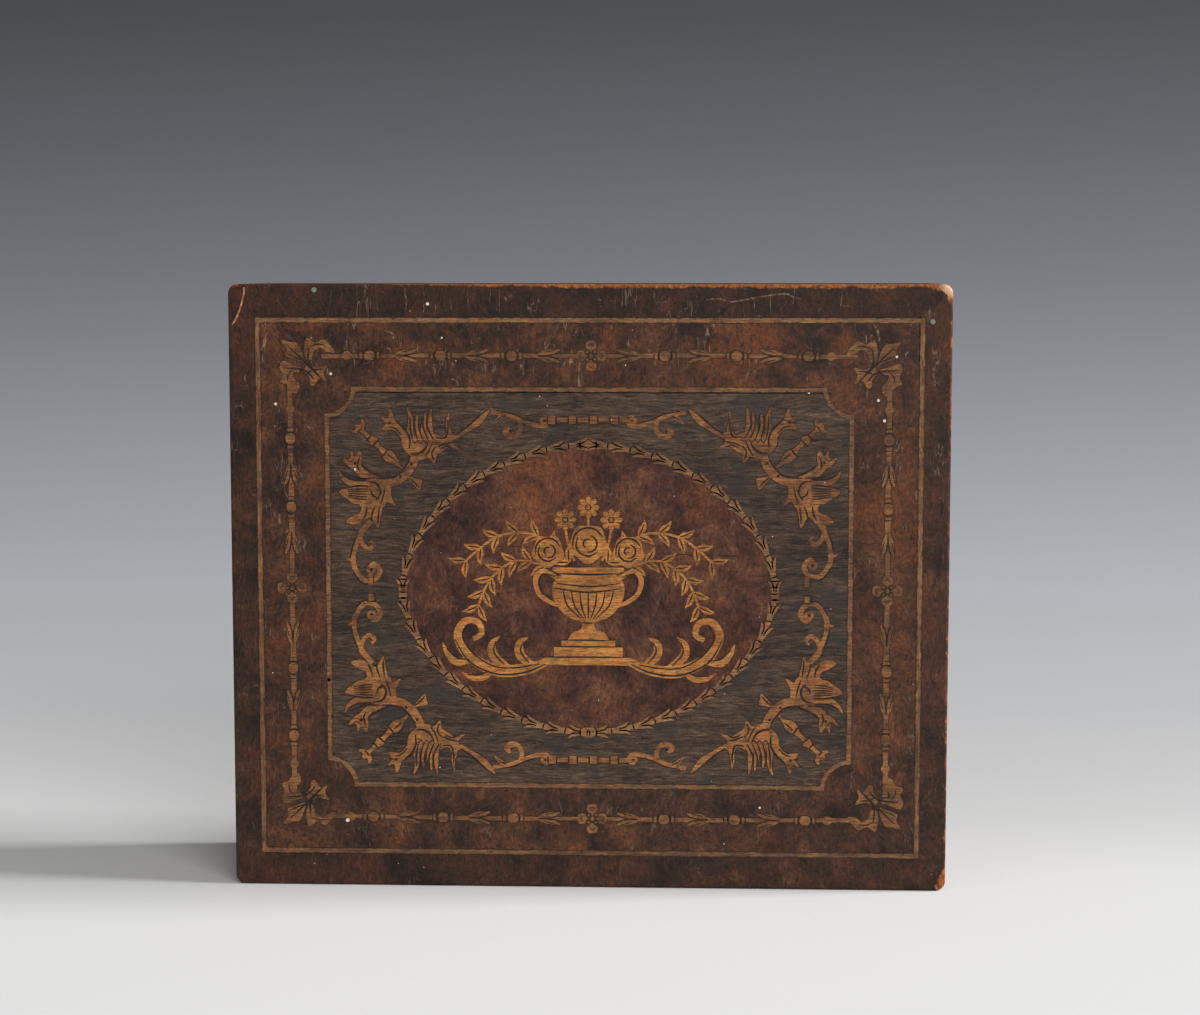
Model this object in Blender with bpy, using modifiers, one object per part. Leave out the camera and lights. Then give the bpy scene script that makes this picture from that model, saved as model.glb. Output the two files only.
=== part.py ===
"""A hinged wooden playing card box with a marquetry lid.

The box stands on its front wall, as it is shown: the lid faces -Y, the base faces +Y and the hinged
back wall is on top. Metres, +Z up, origin under the middle of the box.

The case is four mitred walls on a base board, with a divider between two bays for packs of cards and
a rail that parts off a trough. The lid is a board on four mitred rails. Everything outside is
veneered, and the lid's face is laid with banding, stringing, a burr border, a dark ground and an oval.
Two brass butt hinges lie flush in a V-shaped groove, whose sides meet and stop the opened lid.
"""

from math import atan2, copysign, cos, degrees, pi, radians, sin, tan

import bmesh
import bpy
from mathutils import Matrix, Vector

MM = 0.001

# The whole box, over its veneers
BOX_WIDTH = 150.0 * MM
BOX_DEPTH = 127.0 * MM
BOX_HEIGHT = 38.0 * MM
LID_HEIGHT = 12.0 * MM
SEAM_GAP = 0.3 * MM
CORNER_RADIUS = 2.0 * MM
FACE_EDGE_RADIUS = 0.6 * MM

# Boards and veneers
WALL = 6.5 * MM
BASE_BOARD = 4.0 * MM
LID_BOARD = 4.6 * MM
VENEER = 0.8 * MM
GLUE_LINE = 0.03 * MM
MITRE_GAP = 0.03 * MM

# Partitions and linings inside the case
TROUGH_WIDTH = 17.0 * MM
RAIL_THICKNESS = 3.4 * MM
DIVIDER_THICKNESS = 4.0 * MM
PARTITION_DROP = 1.0 * MM
HOUSING_DEPTH = 1.5 * MM
HOUSING_CLEARANCE = 0.15 * MM
SCOOP_RADIUS = 11.0 * MM
LINING = 0.4 * MM
LINING_MARGIN = 0.3 * MM

# Marquetry on the lid's face
BAND_SIDE = 5.6 * MM
BAND_END = 6.9 * MM
STRINGING = 1.0 * MM
BORDER_WIDTH = 13.2 * MM
NOTCH_RADIUS = 5.6 * MM
OVAL_MARGIN_SIDE = 16.2 * MM
OVAL_MARGIN_END = 12.0 * MM
OVAL_POWER = 1.84
WREATH_WIDTH = 1.2 * MM
INLAY_GAP = 0.06 * MM
INLAY_RISE = 0.06 * MM

# Butt hinges
HINGE_INSET = 20.0 * MM
LEAF_LENGTH = 22.0 * MM
LEAF_THICKNESS = 1.0 * MM
LEAF_EDGE = 0.6 * MM
KNUCKLE_RADIUS = 1.5 * MM
KNUCKLE_SET_IN = 0.1 * MM
KNUCKLE_COUNT = 5
KNUCKLE_GAP = 0.25 * MM
KNUCKLE_CLEARANCE = 0.3 * MM
FINGER_INSET = 0.1 * MM
PIN_RADIUS = 0.6 * MM
PIN_CLEARANCE = 0.1 * MM
MORTISE_CLEARANCE = 0.15 * MM
LID_OPENING = 100.0
STOP_CLEARANCE = 2.0

# Countersunk hinge screws
SCREW_HEAD_RADIUS = 1.2 * MM
SCREW_RADIUS = 0.6 * MM
SCREW_LENGTH = 5.5 * MM
SCREW_TIP = 1.0 * MM
SCREW_CLEARANCE = 0.1 * MM
SCREW_SET_IN = 0.05 * MM
SLOT_WIDTH = 0.35 * MM
SLOT_DEPTH = 0.3 * MM

# Smoothness of round shapes, and how far a cutter runs past what it cuts
CORNER_STEPS = 4
NOTCH_STEPS = 8
OVAL_STEPS = 72
SCOOP_STEPS = 32
KNUCKLE_STEPS = 16
SCREW_STEPS = 12
EDGE_SEGMENTS = 3
OVERRUN = 1.0 * MM
WELD = 1e-6
SMOOTH_ANGLE = radians(35)

# Planes across the thickness, from the lid's face at -Y to the base at +Y
FACE_Y = -BOX_HEIGHT / 2
LID_BOARD_Y = FACE_Y + VENEER + GLUE_LINE
LID_RAIL_Y = LID_BOARD_Y + LID_BOARD + GLUE_LINE
LID_SEAM_Y = FACE_Y + LID_HEIGHT
CASE_SEAM_Y = LID_SEAM_Y + SEAM_GAP
BASE_Y = BOX_HEIGHT / 2
BASE_BOARD_Y = BASE_Y - BASE_BOARD
WALL_FOOT_Y = BASE_BOARD_Y - GLUE_LINE
PARTITION_Y = CASE_SEAM_Y + PARTITION_DROP

# Half sizes of the outlines, about the middle of the box, as (X, Z)
OUTSIDE = Vector((BOX_WIDTH / 2, BOX_DEPTH / 2))
CORE = OUTSIDE - Vector((1, 1)) * (VENEER + GLUE_LINE)
INSIDE = CORE - Vector((1, 1)) * WALL
BAND_INNER = OUTSIDE - Vector((BAND_SIDE, BAND_END))
LINE_OUTER = BAND_INNER - Vector((1, 1)) * INLAY_GAP
LINE_INNER = LINE_OUTER - Vector((1, 1)) * STRINGING
BORDER_OUTER = LINE_INNER - Vector((1, 1)) * INLAY_GAP
BORDER_INNER = BORDER_OUTER - Vector((1, 1)) * BORDER_WIDTH
OVAL = BORDER_INNER - Vector((OVAL_MARGIN_SIDE, OVAL_MARGIN_END))
MIDDLE_Z = BOX_DEPTH / 2

# Partitions: the rail lies across the box, the divider runs from it to the back wall
RAIL_LOW_Z = MIDDLE_Z - INSIDE.y + TROUGH_WIDTH
RAIL_HIGH_Z = RAIL_LOW_Z + RAIL_THICKNESS
BACK_INNER_Z = MIDDLE_Z + INSIDE.y

# The hinges' axis, on the middle of the seam and just inside the back of the box
AXIS_Y = LID_SEAM_Y + SEAM_GAP / 2
AXIS_Z = BOX_DEPTH - KNUCKLE_RADIUS - KNUCKLE_SET_IN
LEAF_REACH = AXIS_Z - BACK_INNER_Z - LEAF_EDGE
LEAF_NOTCH = KNUCKLE_RADIUS + KNUCKLE_CLEARANCE
HINGE_X = BOX_WIDTH / 2 - HINGE_INSET - LEAF_LENGTH / 2
KNUCKLE_LENGTH = (LEAF_LENGTH - (KNUCKLE_COUNT - 1) * KNUCKLE_GAP) / KNUCKLE_COUNT
SCREW_Z = AXIS_Z - (LEAF_NOTCH + LEAF_REACH) / 2

FINISHES = {
    "burr_walnut": ((0.075, 0.028, 0.014), 0.42, 0.0),
    "dark_burr": ((0.042, 0.018, 0.011), 0.42, 0.0),
    "rosewood": ((0.045, 0.030, 0.021), 0.48, 0.0),
    "boxwood": ((0.300, 0.140, 0.040), 0.45, 0.0),
    "poplar": ((0.330, 0.190, 0.090), 0.62, 0.0),
    "walnut": ((0.110, 0.052, 0.026), 0.50, 0.0),
    "lining_paper": ((0.150, 0.030, 0.022), 0.85, 0.0),
    "brass": ((0.560, 0.370, 0.130), 0.38, 1.0),
    "steel": ((0.320, 0.300, 0.270), 0.45, 1.0),
}

for leftover in list(bpy.data.objects):
    bpy.data.objects.remove(leftover)

PARTS = bpy.data.collections.new("playing_card_box")
CUTTERS = bpy.data.collections.new("cutters")
for collection in (PARTS, CUTTERS):
    bpy.context.scene.collection.children.link(collection)


def finish(name):
    """The material of that name, made once."""
    material = bpy.data.materials.get(name)
    if material is None:
        colour, roughness, metallic = FINISHES[name]
        material = bpy.data.materials.new(name)
        material.use_nodes = True
        shader = material.node_tree.nodes["Principled BSDF"]
        shader.inputs["Base Color"].default_value = (*colour, 1.0)
        shader.inputs["Roughness"].default_value = roughness
        shader.inputs["Metallic"].default_value = metallic
        material.diffuse_color = (*colour, 1.0)
    return material


def body_empty(name, location):
    """An empty that carries the pieces of one moving body, on its axis."""
    empty = bpy.data.objects.new(name, None)
    empty.location = location
    PARTS.objects.link(empty)
    bpy.context.view_layer.update()
    return empty


CASE = body_empty("case_frame", (0, 0, 0))
LID = body_empty("lid_axis", (0, AXIS_Y, AXIS_Z))

# How an outline's two axes and its thickness lie in the world, for each direction of extrusion
LIE = {
    "X": Matrix(((0, 0, 1, 0), (1, 0, 0, 0), (0, 1, 0, 0), (0, 0, 0, 1))),
    "Y": Matrix(((1, 0, 0, 0), (0, 0, -1, 0), (0, 1, 0, 0), (0, 0, 0, 1))),
}


def as_part(obj, material, parent):
    """Gives a solid its finish and the body that carries it."""
    obj.data.materials.append(finish(material))
    obj.parent = parent
    obj.matrix_parent_inverse = parent.matrix_world.inverted()
    return obj


def as_cutter(obj):
    """Turns a solid into a tool that is only used to cut others."""
    PARTS.objects.unlink(obj)
    CUTTERS.objects.link(obj)
    obj.hide_render = True
    obj.display_type = "WIRE"
    return obj


def combine(obj, other, operation="DIFFERENCE"):
    """Cuts, or joins, one solid with another."""
    modifier = obj.modifiers.new(other.name, "BOOLEAN")
    modifier.object = other
    modifier.operation = operation
    modifier.solver = "EXACT"


def arc(centre, radius, start, end, steps):
    """Points round a circle, from one angle to another, in degrees."""
    angles = [radians(start + (end - start) * i / steps) for i in range(steps + 1)]
    return [(centre[0] + radius * cos(a), centre[1] + radius * sin(a)) for a in angles]


def mesh_object(name, mesh, matrix):
    obj = bpy.data.objects.new(name, mesh)
    obj.matrix_world = matrix
    PARTS.objects.link(obj)
    bpy.context.view_layer.update()
    return obj


def extrude(name, outlines, axis, start, end):
    """A flat outline, with any holes, as a solid between two planes across an axis.

    Along Y an outline is in X and Z, and along X it is in Y and Z.
    """
    curve = bpy.data.curves.new(name, "CURVE")
    curve.dimensions = "2D"
    curve.fill_mode = "BOTH"
    curve.extrude = abs(end - start) / 2
    for outline in outlines:
        spline = curve.splines.new("POLY")
        spline.points.add(len(outline) - 1)
        for point, place in zip(spline.points, outline):
            point.co = (*place, 0, 1)
        spline.use_cyclic_u = True
    drawn = bpy.data.objects.new(name, curve)
    PARTS.objects.link(drawn)
    graph = bpy.context.evaluated_depsgraph_get()
    mesh = bpy.data.meshes.new_from_object(drawn.evaluated_get(graph))
    bpy.data.objects.remove(drawn)
    mesh.name = name
    cage = bmesh.new()
    cage.from_mesh(mesh)
    bmesh.ops.remove_doubles(cage, verts=cage.verts, dist=WELD)
    bmesh.ops.recalc_face_normals(cage, faces=cage.faces)
    cage.to_mesh(mesh)
    cage.free()
    middle = Vector((0, 0, 0))
    middle["XYZ".index(axis)] = (start + end) / 2
    return mesh_object(name, mesh, Matrix.Translation(middle) @ LIE[axis])


def block(name, low, high):
    """A box between two corners."""
    low, high = Vector(low), Vector(high)
    cage = bmesh.new()
    bmesh.ops.create_cube(cage, size=1.0, matrix=Matrix.Diagonal((*(high - low), 1)))
    mesh = bpy.data.meshes.new(name)
    cage.to_mesh(mesh)
    cage.free()
    return mesh_object(name, mesh, Matrix.Translation((low + high) / 2))


def rod(name, axis, centre, radius, length, steps):
    """A round bar along an axis."""
    cage = bmesh.new()
    bmesh.ops.create_cone(cage, cap_ends=True, segments=steps, radius1=radius, radius2=radius, depth=length)
    mesh = bpy.data.meshes.new(name)
    cage.to_mesh(mesh)
    cage.free()
    turn = {"X": Matrix.Rotation(pi / 2, 4, "Y"), "Z": Matrix.Identity(4)}[axis]
    obj = mesh_object(name, mesh, Matrix.Translation(centre) @ turn)
    mesh.shade_smooth()
    mesh.set_sharp_from_angle(angle=SMOOTH_ANGLE)
    return obj


def turned(name, profile, steps, matrix):
    """A solid turned about its own Z axis, from a profile of (radius, height) that runs downwards."""
    cage = bmesh.new()
    points = [cage.verts.new((radius, 0, height)) for radius, height in profile]
    for above, below in zip(points, points[1:]):
        cage.edges.new((above, below))
    mesh = bpy.data.meshes.new(name)
    cage.to_mesh(mesh)
    cage.free()
    obj = mesh_object(name, mesh, matrix)
    lathe = obj.modifiers.new("lathe", "SCREW")
    lathe.axis = "Z"
    lathe.steps = steps
    lathe.render_steps = steps
    lathe.use_merge_vertices = True
    lathe.merge_threshold = WELD
    return obj


def mitred_strip(outer, inner, radius, inset):
    """Outline of a frame's top strip, as (along, across) the middle, with mitred ends.

    A radius rounds the frame's outer corners, and each of two strips has half of the arc. An inset
    draws the outer edge in, and leaves its ends on the same mitres.
    """
    back = MITRE_GAP / 2
    if radius:
        centre = Vector((outer[0] - radius, outer[1] - radius))
        out = Vector((1, 1)).normalized() * radius
        mitre = (centre + out - Vector(inner)).normalized()
        reach = out.dot(mitre)
        meeting = out - mitre * (reach - (reach**2 - radius**2 + (radius - inset) ** 2) ** 0.5)
        start = degrees(atan2(meeting.y, meeting.x))
        end = [(a - back, b) for a, b in arc(centre, radius - inset, start, 90, CORNER_STEPS)]
    else:
        end = [(outer[0] - back, outer[1])]
    half = [(inner[0] - back, inner[1]), *end]
    return half + [(-a, b) for a, b in reversed(half)]


def lifted(outline):
    """An outline about the middle of the box, moved up to where the box stands."""
    return [(x, z + MIDDLE_Z) for x, z in outline]


def mitred_frame(names, outer, inner, radius=0.0, inset=0.0):
    """Four outlines of a mitred frame, by name: front (below), back (above), left and right."""
    level = mitred_strip(outer, inner, radius, inset)
    upright = mitred_strip((outer[1], outer[0]), (inner[1], inner[0]), radius, inset)
    front, back, left, right = names
    return {
        front: lifted([(a, -b) for a, b in level]),
        back: lifted(level),
        left: lifted([(-b, a) for a, b in upright]),
        right: lifted([(b, a) for a, b in upright]),
    }


def frame_parts(names, outer, inner, start, end, material, parent, radius=0.0):
    """The four solids of a mitred frame between two planes across Y, by name."""
    outlines = mitred_frame(names, outer, inner, radius)
    return {
        name: as_part(extrude(name, [outline], "Y", start, end), material, parent)
        for name, outline in outlines.items()
    }


def rectangle(half, grow=0.0):
    x, z = half[0] + grow, half[1] + grow
    return lifted([(-x, -z), (x, -z), (x, z), (-x, z)])


SIDES = ("front", "back", "left", "right")

# The case: base board, four mitred walls and the veneers outside them
base_board = as_part(extrude("base_board", [rectangle(CORE)], "Y", BASE_BOARD_Y, BASE_Y), "poplar", CASE)
walls = frame_parts(
    [f"{side}_wall" for side in SIDES], CORE, INSIDE, CASE_SEAM_Y, WALL_FOOT_Y, "walnut", CASE
)
case_veneers = frame_parts(
    [f"case_{side}_veneer" for side in SIDES],
    OUTSIDE,
    OUTSIDE - Vector((VENEER, VENEER)),
    CASE_SEAM_Y,
    BASE_Y,
    "dark_burr",
    CASE,
    CORNER_RADIUS,
)


def partition(name, low_x, high_x, low_z, high_z):
    """An upright board on the base, as high as the partitions are."""
    low = (low_x, PARTITION_Y, low_z)
    return as_part(block(name, low, (high_x, WALL_FOOT_Y, high_z)), "walnut", CASE)


def housing(name, board_low, board_high):
    """The groove that takes a board's end, from the seam down to the base."""
    grow = Vector((HOUSING_CLEARANCE, 0, HOUSING_CLEARANCE))
    low, high = Vector(board_low) - grow, Vector(board_high) + grow
    low.y = CASE_SEAM_Y - OVERRUN
    high.y = WALL_FOOT_Y + OVERRUN
    return as_cutter(block(name, low, high))


def scoop(name, axis, x, z, reach):
    """A round finger scoop in a partition's free edge."""
    return as_cutter(rod(name, axis, (x, PARTITION_Y, z), SCOOP_RADIUS, reach, SCOOP_STEPS))


# The rail across the case, housed in the side walls, with a finger scoop for each pack
rail_end = INSIDE.x + HOUSING_DEPTH
trough_rail = partition("trough_rail", -rail_end, rail_end, RAIL_LOW_Z, RAIL_HIGH_Z)
for side, sign in (("left", -1), ("right", 1)):
    near, far = sorted((sign * INSIDE.x, sign * rail_end))
    groove = housing(f"{side}_rail_housing", (near, 0, RAIL_LOW_Z), (far, 0, RAIL_HIGH_Z))
    combine(walls[f"{side}_wall"], groove)
    bay_middle_x = sign * (INSIDE.x + DIVIDER_THICKNESS / 2) / 2
    rail_middle_z = (RAIL_LOW_Z + RAIL_HIGH_Z) / 2
    reach = RAIL_THICKNESS + 2 * OVERRUN
    combine(trough_rail, scoop(f"{side}_rail_scoop", "Z", bay_middle_x, rail_middle_z, reach))

# The divider between the two packs, housed in the rail and in the back wall
divider_half = DIVIDER_THICKNESS / 2
divider_low_z = RAIL_HIGH_Z - HOUSING_DEPTH
divider_high_z = BACK_INNER_Z + HOUSING_DEPTH
divider = partition("divider", -divider_half, divider_half, divider_low_z, divider_high_z)
divider_middle_z = (RAIL_HIGH_Z + BACK_INNER_Z) / 2
combine(divider, scoop("divider_scoop", "X", 0, divider_middle_z, DIVIDER_THICKNESS + 2 * OVERRUN))
for wall, low_z, high_z in (
    (trough_rail, divider_low_z, RAIL_HIGH_Z),
    (walls["back_wall"], BACK_INNER_Z, divider_high_z),
):
    groove = housing(f"divider_housing_{wall.name}", (-divider_half, 0, low_z), (divider_half, 0, high_z))
    combine(wall, groove)


def lining(name, low_x, high_x, low_z, high_z, start, parent):
    """A sheet of lining paper on the floor of a hollow, just clear of its walls."""
    m = LINING_MARGIN
    low = (low_x + m, start, low_z + m)
    high = (high_x - m, start + LINING, high_z - m)
    return as_part(block(name, low, high), "lining_paper", parent)


floor_y = WALL_FOOT_Y - LINING
front_inner_z = MIDDLE_Z - INSIDE.y
lining("left_bay_lining", -INSIDE.x, -divider_half, RAIL_HIGH_Z, BACK_INNER_Z, floor_y, CASE)
lining("right_bay_lining", divider_half, INSIDE.x, RAIL_HIGH_Z, BACK_INNER_Z, floor_y, CASE)
lining("trough_lining", -INSIDE.x, INSIDE.x, front_inner_z, RAIL_LOW_Z, floor_y, CASE)

# The lid: a board on four mitred rails, lined inside, with veneers on its sides
lid_board = extrude("lid_board", [rectangle(CORE)], "Y", LID_BOARD_Y, LID_BOARD_Y + LID_BOARD)
as_part(lid_board, "poplar", LID)
rails = frame_parts(
    [f"lid_{side}_rail" for side in SIDES], CORE, INSIDE, LID_RAIL_Y, LID_SEAM_Y, "walnut", LID
)
lid_veneers = frame_parts(
    [f"lid_{side}_veneer" for side in SIDES],
    OUTSIDE,
    OUTSIDE - Vector((VENEER, VENEER)),
    LID_BOARD_Y,
    LID_SEAM_Y,
    "dark_burr",
    LID,
    CORNER_RADIUS,
)
lining("lid_lining", -INSIDE.x, INSIDE.x, front_inner_z, BACK_INNER_Z, LID_RAIL_Y, LID)

# The lid's face: veneers that lie side by side on the board, from the edge to the middle
FACE_BACK_Y = FACE_Y + VENEER


def face_part(name, outlines, material, drop=0.0):
    """A flat piece of the face: the burr and the ground have shrunk, and drop below the inlay."""
    return as_part(extrude(name, outlines, "Y", FACE_Y + drop, FACE_BACK_Y), material, LID)


def joined_outlines(name, sections):
    """A solid through like outlines in X and Z, each at its own plane across Y."""
    cage = bmesh.new()
    rings = [[cage.verts.new((x, y, z)) for x, z in outline] for y, outline in sections]
    for ring, ahead in zip(rings, rings[1:]):
        for i in range(len(ring)):
            cage.faces.new((ring[i - 1], ring[i], ahead[i], ahead[i - 1]))
    cage.faces.new(rings[0])
    cage.faces.new(rings[-1])
    bmesh.ops.recalc_face_normals(cage, faces=cage.faces)
    mesh = bpy.data.meshes.new(name)
    cage.to_mesh(mesh)
    cage.free()
    return mesh_object(name, mesh, Matrix.Identity(4))


# The bandings, shrunk like the rest of the burr, with their edge to the lid's sides rounded
BANDINGS = [f"banding_{side}" for side in SIDES]
BAND_Y = FACE_Y + INLAY_RISE
edge_turns = [radians(90 * step / EDGE_SEGMENTS) for step in range(EDGE_SEGMENTS + 1)]
edge_planes = [(FACE_BACK_Y, 0.0)]
edge_planes += [(BAND_Y + FACE_EDGE_RADIUS * (1 - sin(a)), FACE_EDGE_RADIUS * (1 - cos(a))) for a in edge_turns]
band_sections = [
    (y, mitred_frame(BANDINGS, OUTSIDE, BAND_INNER, CORNER_RADIUS, inset)) for y, inset in edge_planes
]
for name in BANDINGS:
    sections = [(y, outlines[name]) for y, outlines in band_sections]
    as_part(joined_outlines(name, sections), "dark_burr", LID)

frame_parts(
    [f"stringing_{side}" for side in SIDES], LINE_OUTER, LINE_INNER, FACE_Y, FACE_BACK_Y, "boxwood", LID
)


def notched(half, radius):
    """A rectangle about the middle whose corners are cut by circles about the border's inner corners."""
    x, z = half
    corner = BORDER_INNER
    reach_x = corner.x - (radius**2 - (corner.y - z) ** 2) ** 0.5
    reach_z = corner.y - (radius**2 - (corner.x - x) ** 2) ** 0.5
    points = []
    for sign_x, sign_z in ((1, 1), (-1, 1), (-1, -1), (1, -1)):
        first, last = (x, reach_z), (reach_x, z)
        bow = [
            (corner.x - radius * cos(a), corner.y - radius * sin(a))
            for a in notch_angles(radius, corner.x - x, corner.y - z)
        ]
        quarter = [first, *bow, last]
        if sign_x * sign_z < 0:
            quarter.reverse()
        points += [(sign_x * a, sign_z * b) for a, b in quarter]
    return points


def notch_angles(radius, inset_x, inset_z):
    """Angles between an arc's two ends, from the upright side to the level one."""
    start = pi / 2 - (inset_x / radius)
    end = inset_z / radius
    return [start + (end - start) * i / NOTCH_STEPS for i in range(1, NOTCH_STEPS)]


def border_strip(outer, corner):
    """Outline of the border's top strip, whose lower corners swell into the notches of the ground."""
    back = MITRE_GAP / 2
    swell = arc(corner, NOTCH_RADIUS, 180, 225, NOTCH_STEPS // 2)
    half = [*[(a - back, b) for a, b in swell], (outer[0] - back, outer[1])]
    return half + [(-a, b) for a, b in reversed(half)]


level_border = border_strip(BORDER_OUTER, BORDER_INNER)
upright_border = border_strip(
    (BORDER_OUTER.y, BORDER_OUTER.x), (BORDER_INNER.y, BORDER_INNER.x)
)
for name, outline in (
    ("border_front", [(a, -b) for a, b in level_border]),
    ("border_back", level_border),
    ("border_left", [(-b, a) for a, b in upright_border]),
    ("border_right", [(b, a) for a, b in upright_border]),
):
    face_part(name, [lifted(outline)], "burr_walnut", INLAY_RISE)


def inset(half, by):
    return (half[0] - by, half[1] - by)


def oval(grow):
    """An oval about the middle, leaner at its shoulders than an ellipse, whose power would be 2."""
    outline = []
    for i in range(OVAL_STEPS):
        angle = 2 * pi * i / OVAL_STEPS
        across, up = [copysign(abs(part) ** (2 / OVAL_POWER), part) for part in (cos(angle), sin(angle))]
        outline.append(((OVAL.x + grow) * across, (OVAL.y + grow) * up))
    return lifted(outline)


line_outer, line_inner = INLAY_GAP, INLAY_GAP + STRINGING
ground_edge = line_inner + INLAY_GAP
face_part(
    "inner_stringing",
    [
        lifted(notched(inset(BORDER_INNER, line_outer), NOTCH_RADIUS + line_outer)),
        lifted(notched(inset(BORDER_INNER, line_inner), NOTCH_RADIUS + line_inner)),
    ],
    "boxwood",
)
wreath_half = WREATH_WIDTH / 2
face_part(
    "ground_panel",
    [
        lifted(notched(inset(BORDER_INNER, ground_edge), NOTCH_RADIUS + ground_edge)),
        oval(wreath_half + INLAY_GAP),
    ],
    "rosewood",
    INLAY_RISE,
)
face_part("oval_wreath", [oval(wreath_half), oval(-wreath_half)], "boxwood")
face_part("oval_panel", [oval(-wreath_half - INLAY_GAP)], "burr_walnut", INLAY_RISE)

# The V-shaped groove along the back seam: at full opening its two sides all but meet
groove_angle = radians((LID_OPENING + STOP_CLEARANCE) / 2)
groove_height = BOX_DEPTH + OVERRUN - AXIS_Z
groove_half = groove_height * tan(groove_angle)
groove_end = OUTSIDE.x + OVERRUN
seam_groove = as_cutter(
    extrude(
        "seam_groove",
        [
            [
                (AXIS_Y, AXIS_Z),
                (AXIS_Y + groove_half, AXIS_Z + groove_height),
                (AXIS_Y - groove_half, AXIS_Z + groove_height),
            ]
        ],
        "X",
        -groove_end,
        groove_end,
    )
)
for side in ("back", "left", "right"):
    for piece in (
        walls[f"{side}_wall"],
        case_veneers[f"case_{side}_veneer"],
        rails[f"lid_{side}_rail"],
        lid_veneers[f"lid_{side}_veneer"],
    ):
        combine(piece, seam_groove)


def knuckle_middles():
    """Places of the knuckles along a hinge, from its middle."""
    pitch = KNUCKLE_LENGTH + KNUCKLE_GAP
    return [(i - (KNUCKLE_COUNT - 1) / 2) * pitch for i in range(KNUCKLE_COUNT)]


def leaf_outline(x, own):
    """A leaf's plate in X and Z: a strip with a finger under each of its own knuckles."""
    half = LEAF_LENGTH / 2
    foot, edge, tip = AXIS_Z - LEAF_REACH, AXIS_Z - LEAF_NOTCH, AXIS_Z - PIN_RADIUS
    points = [(x - half, foot), (x - half, edge)]
    for middle in own:
        low = x + middle - KNUCKLE_LENGTH / 2 + FINGER_INSET
        high = x + middle + KNUCKLE_LENGTH / 2 - FINGER_INSET
        points += [(low, edge), (low, tip), (high, tip), (high, edge)]
    return [*points, (x + half, edge), (x + half, foot)]


def screw_profile(grow, rise):
    """A countersunk screw from its head's rim to its point, or the hole that clears it."""
    head, shank = SCREW_HEAD_RADIUS + grow, SCREW_RADIUS + grow
    length = SCREW_LENGTH + grow
    neck = -(SCREW_HEAD_RADIUS - SCREW_RADIUS)
    top = [(0, rise), (head, rise)] + ([(head, 0)] if rise else [])
    return [*top, (shank, neck), (shank, SCREW_TIP - length), (0, -length)]


def hinge(side, x):
    """One butt hinge: a leaf let into each seam face, a pin and the screws, with their mortises."""
    axis = (x, AXIS_Y, AXIS_Z)
    middles = knuckle_middles()
    bore = as_cutter(
        rod(
            f"{side}_hinge_bore",
            "X",
            axis,
            PIN_RADIUS + PIN_CLEARANCE,
            LEAF_LENGTH + 2 * OVERRUN,
            KNUCKLE_STEPS,
        )
    )
    barrel = as_cutter(
        rod(
            f"{side}_barrel_mortise",
            "X",
            axis,
            KNUCKLE_RADIUS + KNUCKLE_CLEARANCE,
            LEAF_LENGTH + 4 * MORTISE_CLEARANCE,
            KNUCKLE_STEPS,
        )
    )
    pin = rod(f"{side}_hinge_pin", "X", axis, PIN_RADIUS, LEAF_LENGTH, KNUCKLE_STEPS)
    as_part(pin, "steel", CASE)
    # Each leaf lies flush with its own seam face and reaches into the wood behind it
    for body, parent, seam_y, inward, own, wood, veneer, deeper in (
        ("case", CASE, CASE_SEAM_Y, 1, middles[0::2], walls["back_wall"],
         case_veneers["case_back_veneer"], base_board),
        ("lid", LID, LID_SEAM_Y, -1, middles[1::2], rails["lid_back_rail"],
         lid_veneers["lid_back_veneer"], lid_board),
    ):
        back_y = seam_y + inward * LEAF_THICKNESS
        leaf = extrude(
            f"{side}_hinge_{body}_leaf", [leaf_outline(x, own)], "Y", *sorted((seam_y, back_y))
        )
        as_part(leaf, "brass", parent)
        for number, middle in enumerate(own):
            place = (x + middle, AXIS_Y, AXIS_Z)
            knuckle = as_cutter(
                rod(
                    f"{side}_{body}_knuckle_{number}",
                    "X",
                    place,
                    KNUCKLE_RADIUS,
                    KNUCKLE_LENGTH,
                    KNUCKLE_STEPS,
                )
            )
            combine(leaf, knuckle, "UNION")
        combine(leaf, bore)
        half = LEAF_LENGTH / 2 + MORTISE_CLEARANCE
        mortise_ys = sorted((seam_y - inward * OVERRUN, back_y + inward * MORTISE_CLEARANCE))
        mortise = as_cutter(
            block(
                f"{side}_{body}_mortise",
                (x - half, mortise_ys[0], AXIS_Z - LEAF_REACH - MORTISE_CLEARANCE),
                (x + half, mortise_ys[1], AXIS_Z),
            )
        )
        combine(wood, mortise)
        combine(wood, barrel)
        combine(veneer, barrel)
        # The screws' own Z axis points out of the seam face
        outward = Matrix.Rotation(inward * pi / 2, 4, "X")
        for end, middle in (("outer", own[0]), ("inner", own[-1])):
            head_y = seam_y + inward * SCREW_SET_IN
            seat = Matrix.Translation((x + middle, head_y, SCREW_Z)) @ outward
            name = f"{side}_hinge_{body}_screw_{end}"
            screw = as_part(turned(name, screw_profile(0, 0), SCREW_STEPS, seat), "brass", parent)
            slot_half = SCREW_HEAD_RADIUS + OVERRUN
            slot_ys = sorted((head_y - inward * OVERRUN, head_y + inward * SLOT_DEPTH))
            slot = block(
                f"{name}_slot",
                (x + middle - slot_half, slot_ys[0], SCREW_Z - SLOT_WIDTH / 2),
                (x + middle + slot_half, slot_ys[1], SCREW_Z + SLOT_WIDTH / 2),
            )
            combine(screw, as_cutter(slot))
            clear = turned(f"{name}_hole", screw_profile(SCREW_CLEARANCE, OVERRUN), SCREW_STEPS, seat)
            as_cutter(clear)
            for drilled in (leaf, wood, deeper):
                combine(drilled, clear)


hinge("left", -HINGE_X)
hinge("right", HINGE_X)
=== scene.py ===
import math
import random

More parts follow.
